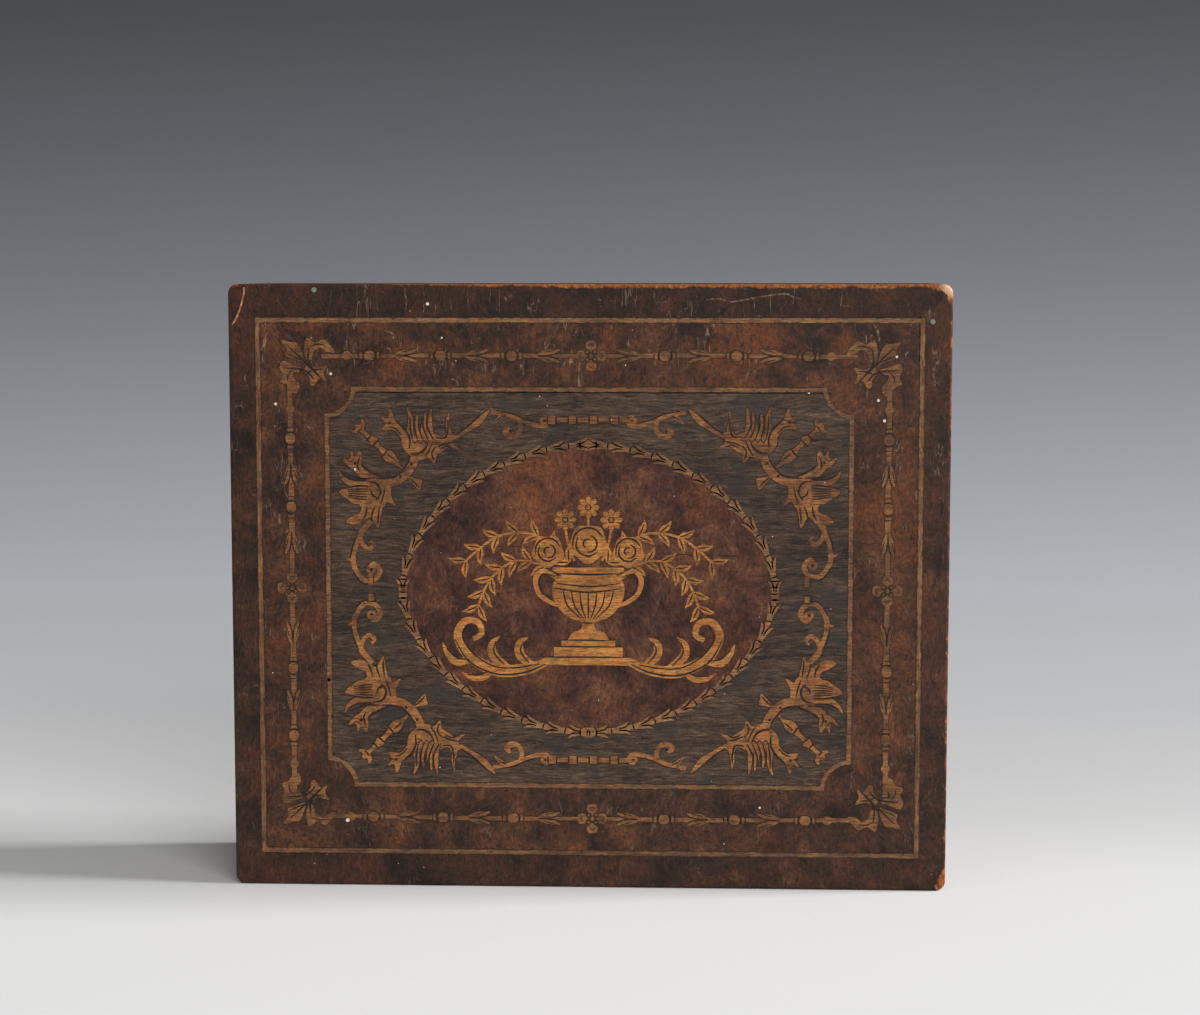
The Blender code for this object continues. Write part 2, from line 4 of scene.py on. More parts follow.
import bpy
import numpy as np
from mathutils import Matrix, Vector
from mathutils.geometry import delaunay_2d_cdt


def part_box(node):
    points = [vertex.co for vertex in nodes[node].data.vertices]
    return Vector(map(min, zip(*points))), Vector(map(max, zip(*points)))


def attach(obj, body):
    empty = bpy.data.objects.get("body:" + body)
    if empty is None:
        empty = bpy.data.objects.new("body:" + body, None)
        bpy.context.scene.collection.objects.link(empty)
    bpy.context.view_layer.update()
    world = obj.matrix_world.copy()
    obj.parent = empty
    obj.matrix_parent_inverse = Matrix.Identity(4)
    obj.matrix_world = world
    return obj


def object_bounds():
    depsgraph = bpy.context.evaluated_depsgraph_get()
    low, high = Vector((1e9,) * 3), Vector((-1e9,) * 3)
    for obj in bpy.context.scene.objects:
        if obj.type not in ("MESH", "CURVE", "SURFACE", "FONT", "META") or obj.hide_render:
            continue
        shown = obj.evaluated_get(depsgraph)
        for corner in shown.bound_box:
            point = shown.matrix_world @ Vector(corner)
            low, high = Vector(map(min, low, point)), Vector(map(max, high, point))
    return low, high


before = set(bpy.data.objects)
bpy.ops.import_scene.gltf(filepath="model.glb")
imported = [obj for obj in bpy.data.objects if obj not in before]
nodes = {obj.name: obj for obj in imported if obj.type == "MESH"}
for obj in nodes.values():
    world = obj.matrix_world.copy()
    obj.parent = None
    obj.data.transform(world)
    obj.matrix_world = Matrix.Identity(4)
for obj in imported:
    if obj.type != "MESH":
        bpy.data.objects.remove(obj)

cad_low, cad_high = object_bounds()
MM = 0.001


# The stage: a sheet of graduated paper that sweeps up from a pale floor to a dark backdrop, a soft lamp
# high and far to the right, one to the front right, a weak one to the front left, and a camera a little
# above the top of the box.
def linear(code):
    """A colour written as sRGB hex, in the linear light that Blender's sockets take."""
    parts = [int(code[i : i + 2], 16) / 255 for i in (1, 3, 5)]
    return (*[p / 12.92 if p <= 0.04045 else ((p + 0.055) / 1.055) ** 2.4 for p in parts], 1.0)


def put(tree, kind, inputs=None, stops=(), **settings):
    """Adds a node, sets it, fills its sockets with values, hex colours or links; gives its output."""
    node = tree.nodes.new(kind)
    for name, value in settings.items():
        setattr(node, name, value)
    for key, value in (inputs or {}).items():
        if isinstance(value, bpy.types.NodeSocket):
            tree.links.new(value, node.inputs[key])
        else:
            node.inputs[key].default_value = linear(value) if isinstance(value, str) else value
    for i, (place, code) in enumerate(stops):
        marks = node.color_ramp.elements
        mark = marks[i] if i < len(marks) else marks.new(place)
        mark.position = place
        mark.color = linear(code)
    return next((socket for socket in node.outputs if socket.enabled), None)


NOISE = "ShaderNodeTexNoise"
MIX = "ShaderNodeMix"
RAMP = "ShaderNodeValToRGB"
SPREAD = "ShaderNodeMapRange"
# A colour laid over another, and one that tints it
OVER = {"data_type": "RGBA"}
TINTED = {**OVER, "blend_type": "MULTIPLY"}


def blank(name):
    """An empty material with its node tree, and the piece's own coordinates."""
    material = bpy.data.materials.new(name)
    material.use_nodes = True
    material.node_tree.nodes.clear()
    coordinates = put(material.node_tree, "ShaderNodeTexCoord").node
    return material, material.node_tree, coordinates.outputs["Object"]


def surface(tree, inputs, height=None, height_mm=0.0):
    """Ends a material in one Principled shader, with a small real relief where a height is given."""
    if height:
        relief = {"Strength": 1.0, "Distance": height_mm * MM, "Height": height}
        inputs = {**inputs, "Normal": put(tree, "ShaderNodeBump", relief)}
    shader = put(tree, "ShaderNodeBsdfPrincipled", inputs)
    put(tree, "ShaderNodeOutputMaterial", {"Surface": shader})


def every(length):
    """The scale of a pattern that repeats at this length in millimetres."""
    return 1 / (length * MM)


FLOOR_SIZE = 6.0
FLOOR_BACK = 0.4
SWEEP_RADIUS = 0.5
SWEEP_STEPS = 12
turns = [math.radians(90 * step / SWEEP_STEPS) for step in range(1, SWEEP_STEPS + 1)]
floor_profile = [
    (-FLOOR_SIZE / 2, 0.0),
    (FLOOR_BACK, 0.0),
    *[(FLOOR_BACK + SWEEP_RADIUS * math.sin(turn), SWEEP_RADIUS * (1 - math.cos(turn))) for turn in turns],
    (FLOOR_BACK + SWEEP_RADIUS, FLOOR_SIZE / 2),
]
sweep_mesh = bpy.data.meshes.new("studio_sweep")
sweep_mesh.from_pydata(
    [(side * FLOOR_SIZE / 2, y, z) for y, z in floor_profile for side in (-1, 1)],
    [],
    [(2 * i, 2 * i + 1, 2 * i + 3, 2 * i + 2) for i in range(len(floor_profile) - 1)],
)
sweep_mesh.shade_smooth()
runs = [0.0]
for start, end in zip(floor_profile, floor_profile[1:]):
    runs.append(runs[-1] + math.dist(start, end))
run = sweep_mesh.attributes.new("run", "FLOAT", "POINT")
run.data.foreach_set("value", [length - FLOOR_SIZE / 2 for length in runs for _ in (0, 1)])
sweep = bpy.data.objects.new("studio_sweep", sweep_mesh)
bpy.context.scene.collection.objects.link(sweep)
# Graduated paper: printed from pale grey to dark blue-grey along the sweep, with painted shade in front,
# where the lamps come close and light it too brightly, and a trace of tooth, drawn coarser than it is so that
# it shows
PAPER_RUN = 1.2
PAPER_SHADE_FRONT = (-0.7, -0.13)
FRONT_PAINTED_SHADE = 0.45
PAPER_STOPS = [
    (0.0, "#d7d7d7"), (0.045, "#c8c8c8"), (0.09, "#c0c0c1"), (0.167, "#b5b6b8"), (0.375, "#a9aab0"),
    (0.5, "#8e9097"), (0.587, "#76797f"), (0.64, "#676a70"), (0.72, "#53555b"), (0.79, "#404247"),
    (1.0, "#35373b"),
]
paper, tree, place = blank("graduated_paper_sweep")
length = put(tree, "ShaderNodeAttribute", attribute_name="run").node.outputs["Fac"]
# Painted shade: the paper darkens towards the front, where the lamps are close
near = put(tree, SPREAD, {0: length, 1: PAPER_SHADE_FRONT[0], 2: PAPER_SHADE_FRONT[1], 3: FRONT_PAINTED_SHADE, 4: 1.0})
length = put(tree, SPREAD, {0: length, 1: 0.0, 2: PAPER_RUN})
tooth = put(tree, NOISE, {"Vector": place, "Scale": every(1.1), "Detail": 2.0})
tone = put(tree, RAMP, {"Fac": length}, stops=PAPER_STOPS)
tooth = put(tree, SPREAD, {0: tooth, 3: 0.97, 4: 1.03})
for shade in (tooth, near):
    tone = put(tree, MIX, {0: 1.0, 6: tone, 7: shade}, **TINTED)
surface(tree, {"Base Color": tone, "Roughness": 0.9})
sweep_mesh.materials.append(paper)


def soft_lamp(name, place, aim, size, power):
    """A square soft box that faces a point."""
    data = bpy.data.lights.new(name, "AREA")
    data.shape = "SQUARE"
    data.size = size
    data.energy = power
    lamp = bpy.data.objects.new(name, data)
    lamp.location = place
    lamp.rotation_euler = (Vector(aim) - Vector(place)).to_track_quat("-Z", "Y").to_euler()
    bpy.context.scene.collection.objects.link(lamp)


BOX_MIDDLE = (0.0, 0.0, 0.06)
soft_lamp("key_soft_box", (0.92, -2.0, 0.94), BOX_MIDDLE, 1.2, 31.3)
soft_lamp("fill_soft_box", (-0.8, -1.0, 0.8), BOX_MIDDLE, 0.9, 1.6)
soft_lamp("side_soft_box", (4.95, 0.0, 3.37), BOX_MIDDLE, 1.86, 426.0)
world = bpy.data.worlds.new("studio_air")
world.use_nodes = True
world.node_tree.nodes["Background"].inputs["Color"].default_value = linear("#e4e2df")
world.node_tree.nodes["Background"].inputs["Strength"].default_value = 0.4
bpy.context.scene.world = world
bpy.context.scene.view_settings.view_transform = "Standard"

CAMERA_PLACE = (0.024, -0.5224, 0.1299)
CAMERA_TILT = math.radians(84.424)
CAMERA_TURN = math.radians(2.452)
camera_data = bpy.data.cameras.new("camera")
camera_data.sensor_width = 36.0
camera_data.lens = 73.0
camera = bpy.data.objects.new("camera", camera_data)
camera.location = CAMERA_PLACE
camera.rotation_euler = (CAMERA_TILT, 0.0, CAMERA_TURN)
bpy.context.scene.collection.objects.link(camera)
bpy.context.scene.camera = camera


# The boards of the case and lid: walnut walls and rails, and poplar boards under the veneers. They
# are sawn, planed and waxed, so the grain runs straight along each piece with fine open pores.
MATH = "ShaderNodeMath"
MAPPING = "ShaderNodeMapping"
SOFTLY = {"interpolation_type": "SMOOTHSTEP"}


def each(*lengths):
    """Scales along three axes for a pattern that repeats at these lengths in millimetres."""
    return [every(length) for length in lengths]


def grain(along, length, width):
    """Scales for a grain that runs along one axis, from the length and width of its streaks."""
    return each(*[length if axis == along else width for axis in "XYZ"])


def waxed_board(name, along, stops, roughness):
    """Straight-grained wood: growth lines about 1.4 mm apart, pores about 0.25 mm wide and 6 mm long."""
    material, tree, place = blank(name)
    growth = put(tree, MAPPING, {"Vector": place, "Scale": grain(along, 38, 1.4)})
    porous = put(tree, MAPPING, {"Vector": place, "Scale": grain(along, 6, 0.25)})
    lines = put(tree, NOISE, {"Vector": growth, "Scale": 1.0, "Detail": 5.0, "Distortion": 0.6})
    pores = put(tree, NOISE, {"Vector": porous, "Scale": 1.0, "Detail": 3.0})
    dark = put(tree, SPREAD, {0: pores, 1: 0.54, 2: 0.66, 4: 0.75}, **SOFTLY)
    colour = put(tree, RAMP, {"Fac": lines}, stops=stops)
    colour = put(tree, MIX, {0: dark, 6: colour, 7: stops[0][1]}, **OVER)
    # Soiled by handling, in clouds and in small spots
    for size, low, share in ((20, 0.46, 0.5), (2.2, 0.58, 0.45)):
        soil = put(tree, NOISE, {"Vector": place, "Scale": every(size), "Detail": 6.0, "Roughness": 0.7})
        soil = put(tree, SPREAD, {0: soil, 1: low, 2: low + 0.2, 4: share}, **SOFTLY)
        colour = put(tree, MIX, {0: soil, 6: colour, 7: "#2c1b10"}, **OVER)
    rough = put(tree, SPREAD, {0: lines, 1: 0.2, 2: 0.8, 3: roughness + 0.08, 4: roughness - 0.06})
    height = put(tree, MATH, {0: lines, 1: dark}, operation="SUBTRACT")
    surface(tree, {"Base Color": colour, "Roughness": rough, "IOR": 1.5}, height, 0.05)
    return material


def dress(material, *names):
    """Gives CAD pieces a material in place of their plain one."""
    for name in names:
        nodes[name].data.materials.clear()
        nodes[name].data.materials.append(material)


# Walnut, planed and waxed: brown with darker growth lines and a low shine
WALNUT_STOPS = [(0.36, "#3a2416"), (0.5, "#5f3d26"), (0.64, "#805733")]
dress(
    waxed_board("waxed_walnut_across", "X", WALNUT_STOPS, 0.5),
    "front_wall", "back_wall", "trough_rail", "lid_front_rail", "lid_back_rail",
)
dress(
    waxed_board("waxed_walnut_upright", "Z", WALNUT_STOPS, 0.5),
    "left_wall", "right_wall", "divider", "lid_left_rail", "lid_right_rail",
)
# Poplar, left bare: pale tan, dry and dull
POPLAR_STOPS = [(0.36, "#70492a"), (0.5, "#94683d"), (0.64, "#b2854f")]
dress(waxed_board("bare_poplar", "X", POPLAR_STOPS, 0.72), "base_board", "lid_board")


# The linings: sheets of marbled paper pasted on the floors of the bays and in the lid. Oxblood
# colour was combed on a bath and lifted off, which leaves soft veins on a matt sheet. Its fibres are
# drawn coarser than they are, so that they show.
VECTOR = "ShaderNodeVectorMath"
lining_paper, tree, place = blank("marbled_lining_paper")
stir = put(tree, NOISE, {"Vector": place, "Scale": every(6), "Detail": 2.0}).node.outputs["Color"]
combed = put(tree, VECTOR, {0: stir, 1: [7 * MM] * 3, 2: place}, operation="MULTIPLY_ADD")
spots = {"Vector": combed, "Scale": every(3.4)}
cells = put(tree, "ShaderNodeTexVoronoi", spots, feature="DISTANCE_TO_EDGE")
vein = put(tree, SPREAD, {0: cells, 1: 0.0, 2: 0.16, 3: 0.5, 4: 0.0}, **SOFTLY)
drift = put(tree, NOISE, {"Vector": place, "Scale": every(14), "Detail": 2.0, "Distortion": 1.2})
colour = put(tree, RAMP, {"Fac": drift}, stops=[(0.35, "#3f1c1a"), (0.5, "#58271f"), (0.68, "#6e3929")])
colour = put(tree, MIX, {0: vein, 6: colour, 7: "#8d6d50"}, **OVER)
fibre = put(tree, NOISE, {"Vector": place, "Scale": every(0.4), "Detail": 3.0})
surface(tree, {"Base Color": colour, "Roughness": 0.88, "IOR": 1.45}, fibre, 0.02)
dress(lining_paper, "left_bay_lining", "right_bay_lining", "trough_lining", "lid_lining")


# The hinges: butt hinges of rolled brass sheet, let in flush and screwed, on drawn steel pins. The
# brass has dulled to brown in the corners and keeps fine lines along the sheet.
def old_metal(name, bright, tone_by_height, roughness):
    """Rolled metal with patches of tarnish and lines 0.12 mm apart, coarser than real ones, to show."""
    material, tree, place = blank(name)
    rolled = put(tree, MAPPING, {"Vector": place, "Scale": each(3.0, 0.12, 0.12)})
    lines = put(tree, NOISE, {"Vector": rolled, "Scale": 1.0, "Detail": 2.0})
    patch = put(tree, NOISE, {"Vector": place, "Scale": every(3.5), "Detail": 5.0})
    tarnish = put(tree, SPREAD, {0: patch, 1: 0.42, 2: 0.68}, **SOFTLY)
    colour = put(tree, MIX, {0: tarnish, 6: bright, 7: tone_by_height}, **OVER)
    rough = put(tree, MATH, {0: tarnish, 1: 0.22, 2: roughness}, operation="MULTIPLY_ADD")
    rough = put(tree, MATH, {0: lines, 1: 0.1, 2: rough}, operation="MULTIPLY_ADD")
    surface(tree, {"Base Color": colour, "Metallic": 1.0, "Roughness": rough}, lines, 0.01)
    return material


brass_names = [name for name in nodes if "hinge" in name and "pin" not in name]
dress(old_metal("aged_rolled_brass", "#b08a4a", "#5f4526", 0.3), *brass_names)
dress(old_metal("drawn_steel_pin", "#8d8780", "#4d4640", 0.34), "left_hinge_pin", "right_hinge_pin")


# The side veneers and the banding: dark burr walnut, glued on and polished. Age has crazed and
# dulled the polish, and handling has worn the arrises through to bright red-brown wood.
FACE_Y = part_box("stringing_front")[0].y
MIDDLE_Z = (cad_low.z + cad_high.z) / 2
HALF_WIDTH = cad_high.x
SIDE_SPARED = 0.5
# Corners that handling has worn: their places from the middle of the face, and how far the wear reaches
CORNER_WEAR = [(74.0, -62.8, 4.6), (74.0, 62.5, 3.6), (-74.0, 62.8, 1.6), (-74.0, -62.5, 2.0)]
PALE_CORNER = (74.2 * MM, FACE_Y, MIDDLE_Z + 62.6 * MM)


def burr(name, stops, flame, flames=0.5, figure=9.0, streak=0.5, scratches=0.25, tone=1.0, worn=None):
    """Burr veneer: swirled figure, flames of painted sheen, fine mottle, upright hairs of grain, and
    scratched polish.
    """
    material, tree, place = blank(name)
    stir = put(tree, NOISE, {"Vector": place, "Scale": every(2 * figure), "Detail": 2.0})
    stir = stir.node.outputs["Color"]
    bent = put(tree, VECTOR, {0: stir, 1: [1.2 * figure * MM] * 3, 2: place}, operation="MULTIPLY_ADD")
    blotch = put(tree, NOISE, {"Vector": bent, "Scale": every(figure), "Detail": 6.0, "Roughness": 0.7})
    colour = put(tree, RAMP, {"Fac": blotch}, stops=stops)
    # Flames of painted sheen where the figure turns to the light, and rust in small patches, both painted
    # stronger towards the back, where more light falls
    height = put(tree, "ShaderNodeSeparateXYZ", {0: place}).node.outputs["Z"]
    # Painted light: the flames grow from about a third of their strength at the front edge to full strength
    # at the back
    rise = put(tree, SPREAD, {0: height, 1: cad_low.z, 2: cad_high.z, 3: 0.35, 4: 1.0})
    for size, share, seed in ((1.9 * figure, flames, 4.0), (2.4, 0.45 * flames, 9.0)):
        patch = {"Vector": bent, "W": seed, "Scale": every(size), "Detail": 4.0, "Roughness": 0.65}
        drift = put(tree, NOISE, patch, noise_dimensions="4D")
        flame_sheen = put(tree, SPREAD, {0: drift, 1: 0.5, 2: 0.66, 4: share}, **SOFTLY)
        flame_sheen = put(tree, MATH, {0: flame_sheen, 1: rise}, operation="MULTIPLY")
        colour = put(tree, MIX, {0: flame_sheen, 6: colour, 7: flame}, **OVER)
    # Mottle and hairs of grain, lighter and darker than the figure
    mottle = put(tree, NOISE, {"Vector": bent, "Scale": every(0.8), "Detail": 4.0, "Roughness": 0.85})
    upright = put(tree, MAPPING, {"Vector": bent, "Scale": each(0.42, 0.42, 2.6)})
    hair = put(tree, NOISE, {"Vector": upright, "Scale": 1.0, "Detail": 4.0, "Roughness": 0.7})
    both = put(tree, MATH, {0: mottle, 1: 1 - streak}, operation="MULTIPLY")
    both = put(tree, MATH, {0: hair, 1: streak, 2: both}, operation="MULTIPLY_ADD")
    shade = put(tree, SPREAD, {0: both, 1: 0.36, 2: 0.64, 3: 0.18 * tone, 4: 1.82 * tone})
    colour = put(tree, MIX, {0: 1.0, 6: colour, 7: shade}, **TINTED)
    # Rubbed spots, where the polish has gone dry
    rubbed = put(tree, NOISE, {"Vector": place, "Scale": every(0.55), "Detail": 3.0, "Roughness": 0.75})
    rubbed = put(tree, SPREAD, {0: rubbed, 1: 0.6, 2: 0.74, 4: 0.35}, **SOFTLY)
    colour = put(tree, MIX, {0: rubbed, 6: colour, 7: "#785c46"}, **OVER)
    # Fine upright scratches: contours of a tall pattern, kept here and there, and most towards the back
    tall = put(tree, MAPPING, {"Vector": place, "Scale": each(1.5, 1.5, 8.0)})
    drawn = put(tree, NOISE, {"Vector": tall, "Scale": 1.0, "Detail": 2.0, "Distortion": 0.5})
    off = put(tree, MATH, {0: drawn, 1: 0.5}, operation="SUBTRACT")
    off = put(tree, MATH, {0: off}, operation="ABSOLUTE")
    line = put(tree, SPREAD, {0: off, 1: 0.003, 2: 0.014, 3: 1.0, 4: 0.0}, **SOFTLY)
    spared = put(tree, NOISE, {"Vector": place, "Scale": every(5), "Detail": 3.0})
    kept = put(tree, SPREAD, {0: spared, 1: 0.53, 2: 0.63, 4: scratches}, **SOFTLY)
    kept = put(tree, MATH, {0: kept, 1: rise}, operation="MULTIPLY")
    scratch = put(tree, MATH, {0: line, 1: kept}, operation="MULTIPLY")
    colour = put(tree, MIX, {0: scratch, 6: colour, 7: "#9c8a76"}, **OVER)
    if worn:
        bare = worn_away(tree, place, *worn)
        streaks = put(tree, RAMP, {"Fac": both}, stops=[(0.4, "#4a2410"), (0.5, "#82461d"), (0.6, "#a8682f")])
        gap = put(tree, VECTOR, {0: place, 1: PALE_CORNER}, operation="DISTANCE").node.outputs["Value"]
        pale = put(tree, SPREAD, {0: gap, 1: 0.6 * MM, 2: 2.4 * MM, 3: 0.9, 4: 0.0})
        streaks = put(tree, MIX, {0: pale, 6: streaks, 7: "#d5a88a"}, **OVER)
        colour = put(tree, MIX, {0: bare, 6: colour, 7: streaks}, **OVER)
    rough = put(tree, SPREAD, {0: hair, 1: 0.3, 2: 0.7, 3: 0.48, 4: 0.66})
    relief = put(tree, MATH, {0: both, 1: scratch}, operation="SUBTRACT")
    looks = {"Base Color": colour, "Roughness": rough, "IOR": 1.5, "Specular IOR Level": 0.22}
    surface(tree, looks, relief, 0.05)
    return material


def worn_away(tree, place, width, depth):
    """Where handling has bared the wood: a ragged strip along the back arris, and the sides and corners."""
    axes = put(tree, "ShaderNodeSeparateXYZ", {0: place}).node.outputs
    across = put(tree, MATH, {0: axes["X"]}, operation="ABSOLUTE")
    across = put(tree, MATH, {0: HALF_WIDTH + SIDE_SPARED * MM, 1: across}, operation="SUBTRACT")
    below = put(tree, MATH, {0: cad_high.z, 1: axes["Z"]}, operation="SUBTRACT")
    aside = put(tree, MATH, {0: across, 1: below}, operation="MINIMUM")
    behind = put(tree, MATH, {0: axes["Y"], 1: FACE_Y}, operation="SUBTRACT")
    behind = put(tree, MATH, {0: behind, 1: width / depth}, operation="MULTIPLY")
    far = put(tree, MATH, {0: aside, 1: behind}, operation="ADD")
    far = put(tree, MATH, {0: far, 1: MM}, operation="DIVIDE")
    ragged = put(tree, NOISE, {"Vector": place, "Scale": every(3.2), "Detail": 5.0, "Roughness": 0.65})
    reach = put(tree, MATH, {0: ragged, 1: 3 * width, 2: -0.5 * width}, operation="MULTIPLY_ADD")
    handled = put(tree, SPREAD, {0: axes["X"], 1: -45 * MM, 2: 0.0, 3: 0.12, 4: 0.9})
    reach = put(tree, MATH, {0: reach, 1: handled}, operation="MULTIPLY")
    for u, v, radius in CORNER_WEAR:
        corner = (u * MM, FACE_Y, MIDDLE_Z + v * MM)
        gap = put(tree, VECTOR, {0: place, 1: corner}, operation="DISTANCE").node.outputs["Value"]
        near = put(tree, SPREAD, {0: gap, 1: 0.0, 2: radius * MM, 3: radius, 4: 0.0})
        near = put(tree, MATH, {0: near, 1: ragged}, operation="MULTIPLY")
        reach = put(tree, MATH, {0: reach, 1: near}, operation="ADD")
    edge = put(tree, MATH, {0: reach, 1: far}, operation="SUBTRACT")
    return put(tree, SPREAD, {0: edge, 1: -0.15, 2: 0.3}, **SOFTLY)


SIDE_STOPS = [(0.36, "#22120c"), (0.46, "#3f2416"), (0.55, "#573420"), (0.66, "#70472b")]
dress(
    burr("worn_burr_sides", SIDE_STOPS, "#7c4825", flames=0.55, figure=8.0, worn=(0.5, 1.5)),
    *[f"{part}_{side}_veneer" for part in ("case", "lid") for side in ("front", "back", "left", "right")],
)
BANDING_STOPS = [(0.36, "#1b0f09"), (0.46, "#2b1a11"), (0.55, "#382016"), (0.66, "#4a2a1b")]
# All the banding is one burr: the back strip has painted shade and the right one painted light
BANDING_LIGHTINGS = (("even", 1.0, ("front", "left")), ("darker", 0.81, ("back",)), ("lighter", 1.21, ("right",)))
for lighting, tone, sides in BANDING_LIGHTINGS:
    # tone darkens the back strip's colour as painted shade and lightens the right strip's as painted light
    banding = burr(f"{lighting}_burr_banding", BANDING_STOPS, "#4b2817", flames=0.45, figure=10.0, scratches=0.34,
                   tone=tone, worn=(0.85, 3.4))
    dress(banding, *[f"banding_{side}" for side in sides])


# The border: brighter burr in four mitred strips between the two lines of stringing, mottled from
# maroon to orange, with swellings that fill the notched corners of the ground.
BORDER_STOPS = [(0.35, "#20100a"), (0.45, "#331f16"), (0.54, "#42281a"), (0.65, "#583521")]
dress(
    burr("mottled_burr_border", BORDER_STOPS, "#6e3b1c", flames=0.6, figure=8.0, streak=0.4, scratches=0.5,
         tone=0.94),
    "border_front", "border_back", "border_left", "border_right",
)


# The stringing, the wreath's stem and all the inlay: boxwood sawn thin, let in and polished with
# the ground. Smoke and old polish have turned it from yellow to tan, in hairs along the grain.
def inlay_wood(name, stops, along="X", soot=0.5, line=None, fade=0.06):
    """Close, even wood with clouds, stains and grime, and hairs of grain drawn coarser than real, to show."""
    material, tree, place = blank(name)
    drawn = put(tree, MAPPING, {"Vector": place, "Scale": grain(along, 5, 0.22)})
    hair = put(tree, NOISE, {"Vector": drawn, "Scale": 1.0, "Detail": 3.0, "Distortion": 0.3})
    cloud = put(tree, NOISE, {"Vector": place, "Scale": every(6), "Detail": 5.0, "Roughness": 0.65})
    tone = put(tree, MATH, {0: hair, 1: 0.5}, operation="MULTIPLY")
    tone = put(tree, MATH, {0: cloud, 1: 0.5, 2: tone}, operation="MULTIPLY_ADD")
    # The tone drifts from the front edge to the back one, by a set amount for each piece
    height = put(tree, "ShaderNodeSeparateXYZ", {0: place}).node.outputs["Z"]
    tone_by_height = put(tree, SPREAD, {0: height, 1: cad_low.z, 2: cad_high.z, 3: fade, 4: -fade})
    tone = put(tree, MATH, {0: tone, 1: tone_by_height}, operation="ADD")
    colour = put(tree, RAMP, {"Fac": tone}, stops=stops)
    # Some patches have gone orange and others olive
    hue = put(tree, NOISE, {"Vector": place, "Scale": every(3.2), "Detail": 3.0, "Distortion": 0.8})
    hue = put(tree, RAMP, {"Fac": hue}, stops=[(0.38, "#f8f4e0"), (0.5, "#fff8ee"), (0.62, "#ffe6cc")])
    colour = put(tree, MIX, {0: 1.0, 6: colour, 7: hue}, **TINTED)
    short = put(tree, MAPPING, {"Vector": place, "Scale": grain(along, 1.8, 0.24)})
    pores = put(tree, NOISE, {"Vector": short, "Scale": 1.0, "Detail": 3.0, "Roughness": 0.7})
    pores = put(tree, SPREAD, {0: pores, 1: 0.5, 2: 0.63, 4: 0.7}, **SOFTLY)
    colour = put(tree, MIX, {0: pores, 6: colour, 7: "#3b2717"}, **OVER)
    for size, low, share, seed in ((6.0, 0.5, 0.7, 2.0), (1.7, 0.5, 0.85, 5.0), (0.5, 0.52, 0.9, 8.0)):
        spots = {"Vector": place, "W": seed, "Scale": every(size), "Detail": 5.0, "Roughness": 0.75}
        grime = put(tree, NOISE, spots, noise_dimensions="4D")
        dirt = {0: grime, 1: low, 2: low + 0.18, 4: share * soot}
        dirt = put(tree, SPREAD, dirt, **SOFTLY)
        colour = put(tree, MIX, {0: dirt, 6: colour, 7: "#2f1f16"}, **OVER)
    if line:
        dirt = edge_dirt(tree, place, *line)
        colour = put(tree, MIX, {0: dirt, 6: colour, 7: "#281a12"}, **OVER)
    rough = put(tree, SPREAD, {0: hair, 1: 0.3, 2: 0.7, 3: 0.44, 4: 0.6})
    looks = {"Base Color": colour, "Roughness": rough, "IOR": 1.5, "Specular IOR Level": 0.25}
    surface(tree, looks, hair, 0.02)
    return material


def edge_dirt(tree, place, middle, bow=None):
    """Ragged dirt along both edges of a line of stringing, whose middle is at these half sizes and bow."""
    axes = put(tree, "ShaderNodeSeparateXYZ", {0: place}).node.outputs
    up = put(tree, MATH, {0: axes["Z"], 1: MIDDLE_Z}, operation="SUBTRACT")
    quarter = [put(tree, MATH, {0: part}, operation="ABSOLUTE") for part in (axes["X"], up)]
    pairs = [{0: part, 1: half * MM} for part, half in zip(quarter, middle)]
    offs = [put(tree, MATH, pair, operation="SUBTRACT") for pair in pairs]
    if bow:
        u, v, radius = bow
        spot = put(tree, "ShaderNodeCombineXYZ", {"X": quarter[0], "Z": quarter[1]})
        corner = (u * MM, 0.0, v * MM)
        gap = put(tree, VECTOR, {0: spot, 1: corner}, operation="DISTANCE").node.outputs["Value"]
        offs.append(put(tree, MATH, {0: gap, 1: radius * MM}, operation="SUBTRACT"))
    offs = [put(tree, MATH, {0: off}, operation="ABSOLUTE") for off in offs]
    nearest = offs[0]
    for off in offs[1:]:
        nearest = put(tree, MATH, {0: nearest, 1: off}, operation="MINIMUM")
    ragged = put(tree, NOISE, {"Vector": place, "Scale": every(1.3), "Detail": 4.0, "Roughness": 0.7})
    reach = put(tree, SPREAD, {0: ragged, 1: 0.38, 2: 0.68, 3: -0.15 * MM, 4: 0.36 * MM})
    depth = put(tree, MATH, {0: nearest, 1: reach}, operation="ADD")
    return put(tree, SPREAD, {0: depth, 1: 0.4 * MM, 2: 0.64 * MM, 4: 0.8}, **SOFTLY)


LINE_STOPS = [(0.36, "#503729"), (0.5, "#74533a"), (0.64, "#946c48")]
OUTER_LINE = ((68.84, 56.04),)
INNER_LINE = ((54.52, 41.72), (55.08, 42.28, 6.16))
dress(
    inlay_wood("tan_stringing_across", LINE_STOPS, soot=0.55, line=OUTER_LINE, fade=-0.05),
    "stringing_front", "stringing_back",
)
dress(
    inlay_wood("tan_stringing_upright", LINE_STOPS, "Z", soot=0.6, line=OUTER_LINE, fade=0.0),
    "stringing_left", "stringing_right",
)
dress(inlay_wood("tan_inner_stringing", LINE_STOPS, soot=0.55, line=INNER_LINE, fade=0.02), "inner_stringing")
INLAY_STOPS = [(0.36, "#513321"), (0.5, "#875a35"), (0.64, "#b27b46")]
WREATH_STOPS = [(0.36, "#503a2c"), (0.5, "#7e5d41"), (0.64, "#a77c53")]
GARLAND_STOPS = [(0.36, "#4b3122"), (0.5, "#765132"), (0.64, "#9b6d41")]
inlay_tan = inlay_wood("tan_boxwood_inlay", INLAY_STOPS, soot=0.85, fade=0.08)
wreath_tan = inlay_wood("dulled_boxwood_inlay", WREATH_STOPS, soot=0.6, fade=0.09)
garland_tan = inlay_wood("smoked_boxwood_inlay", GARLAND_STOPS, soot=0.85, fade=0.02)
dress(wreath_tan, "oval_wreath")


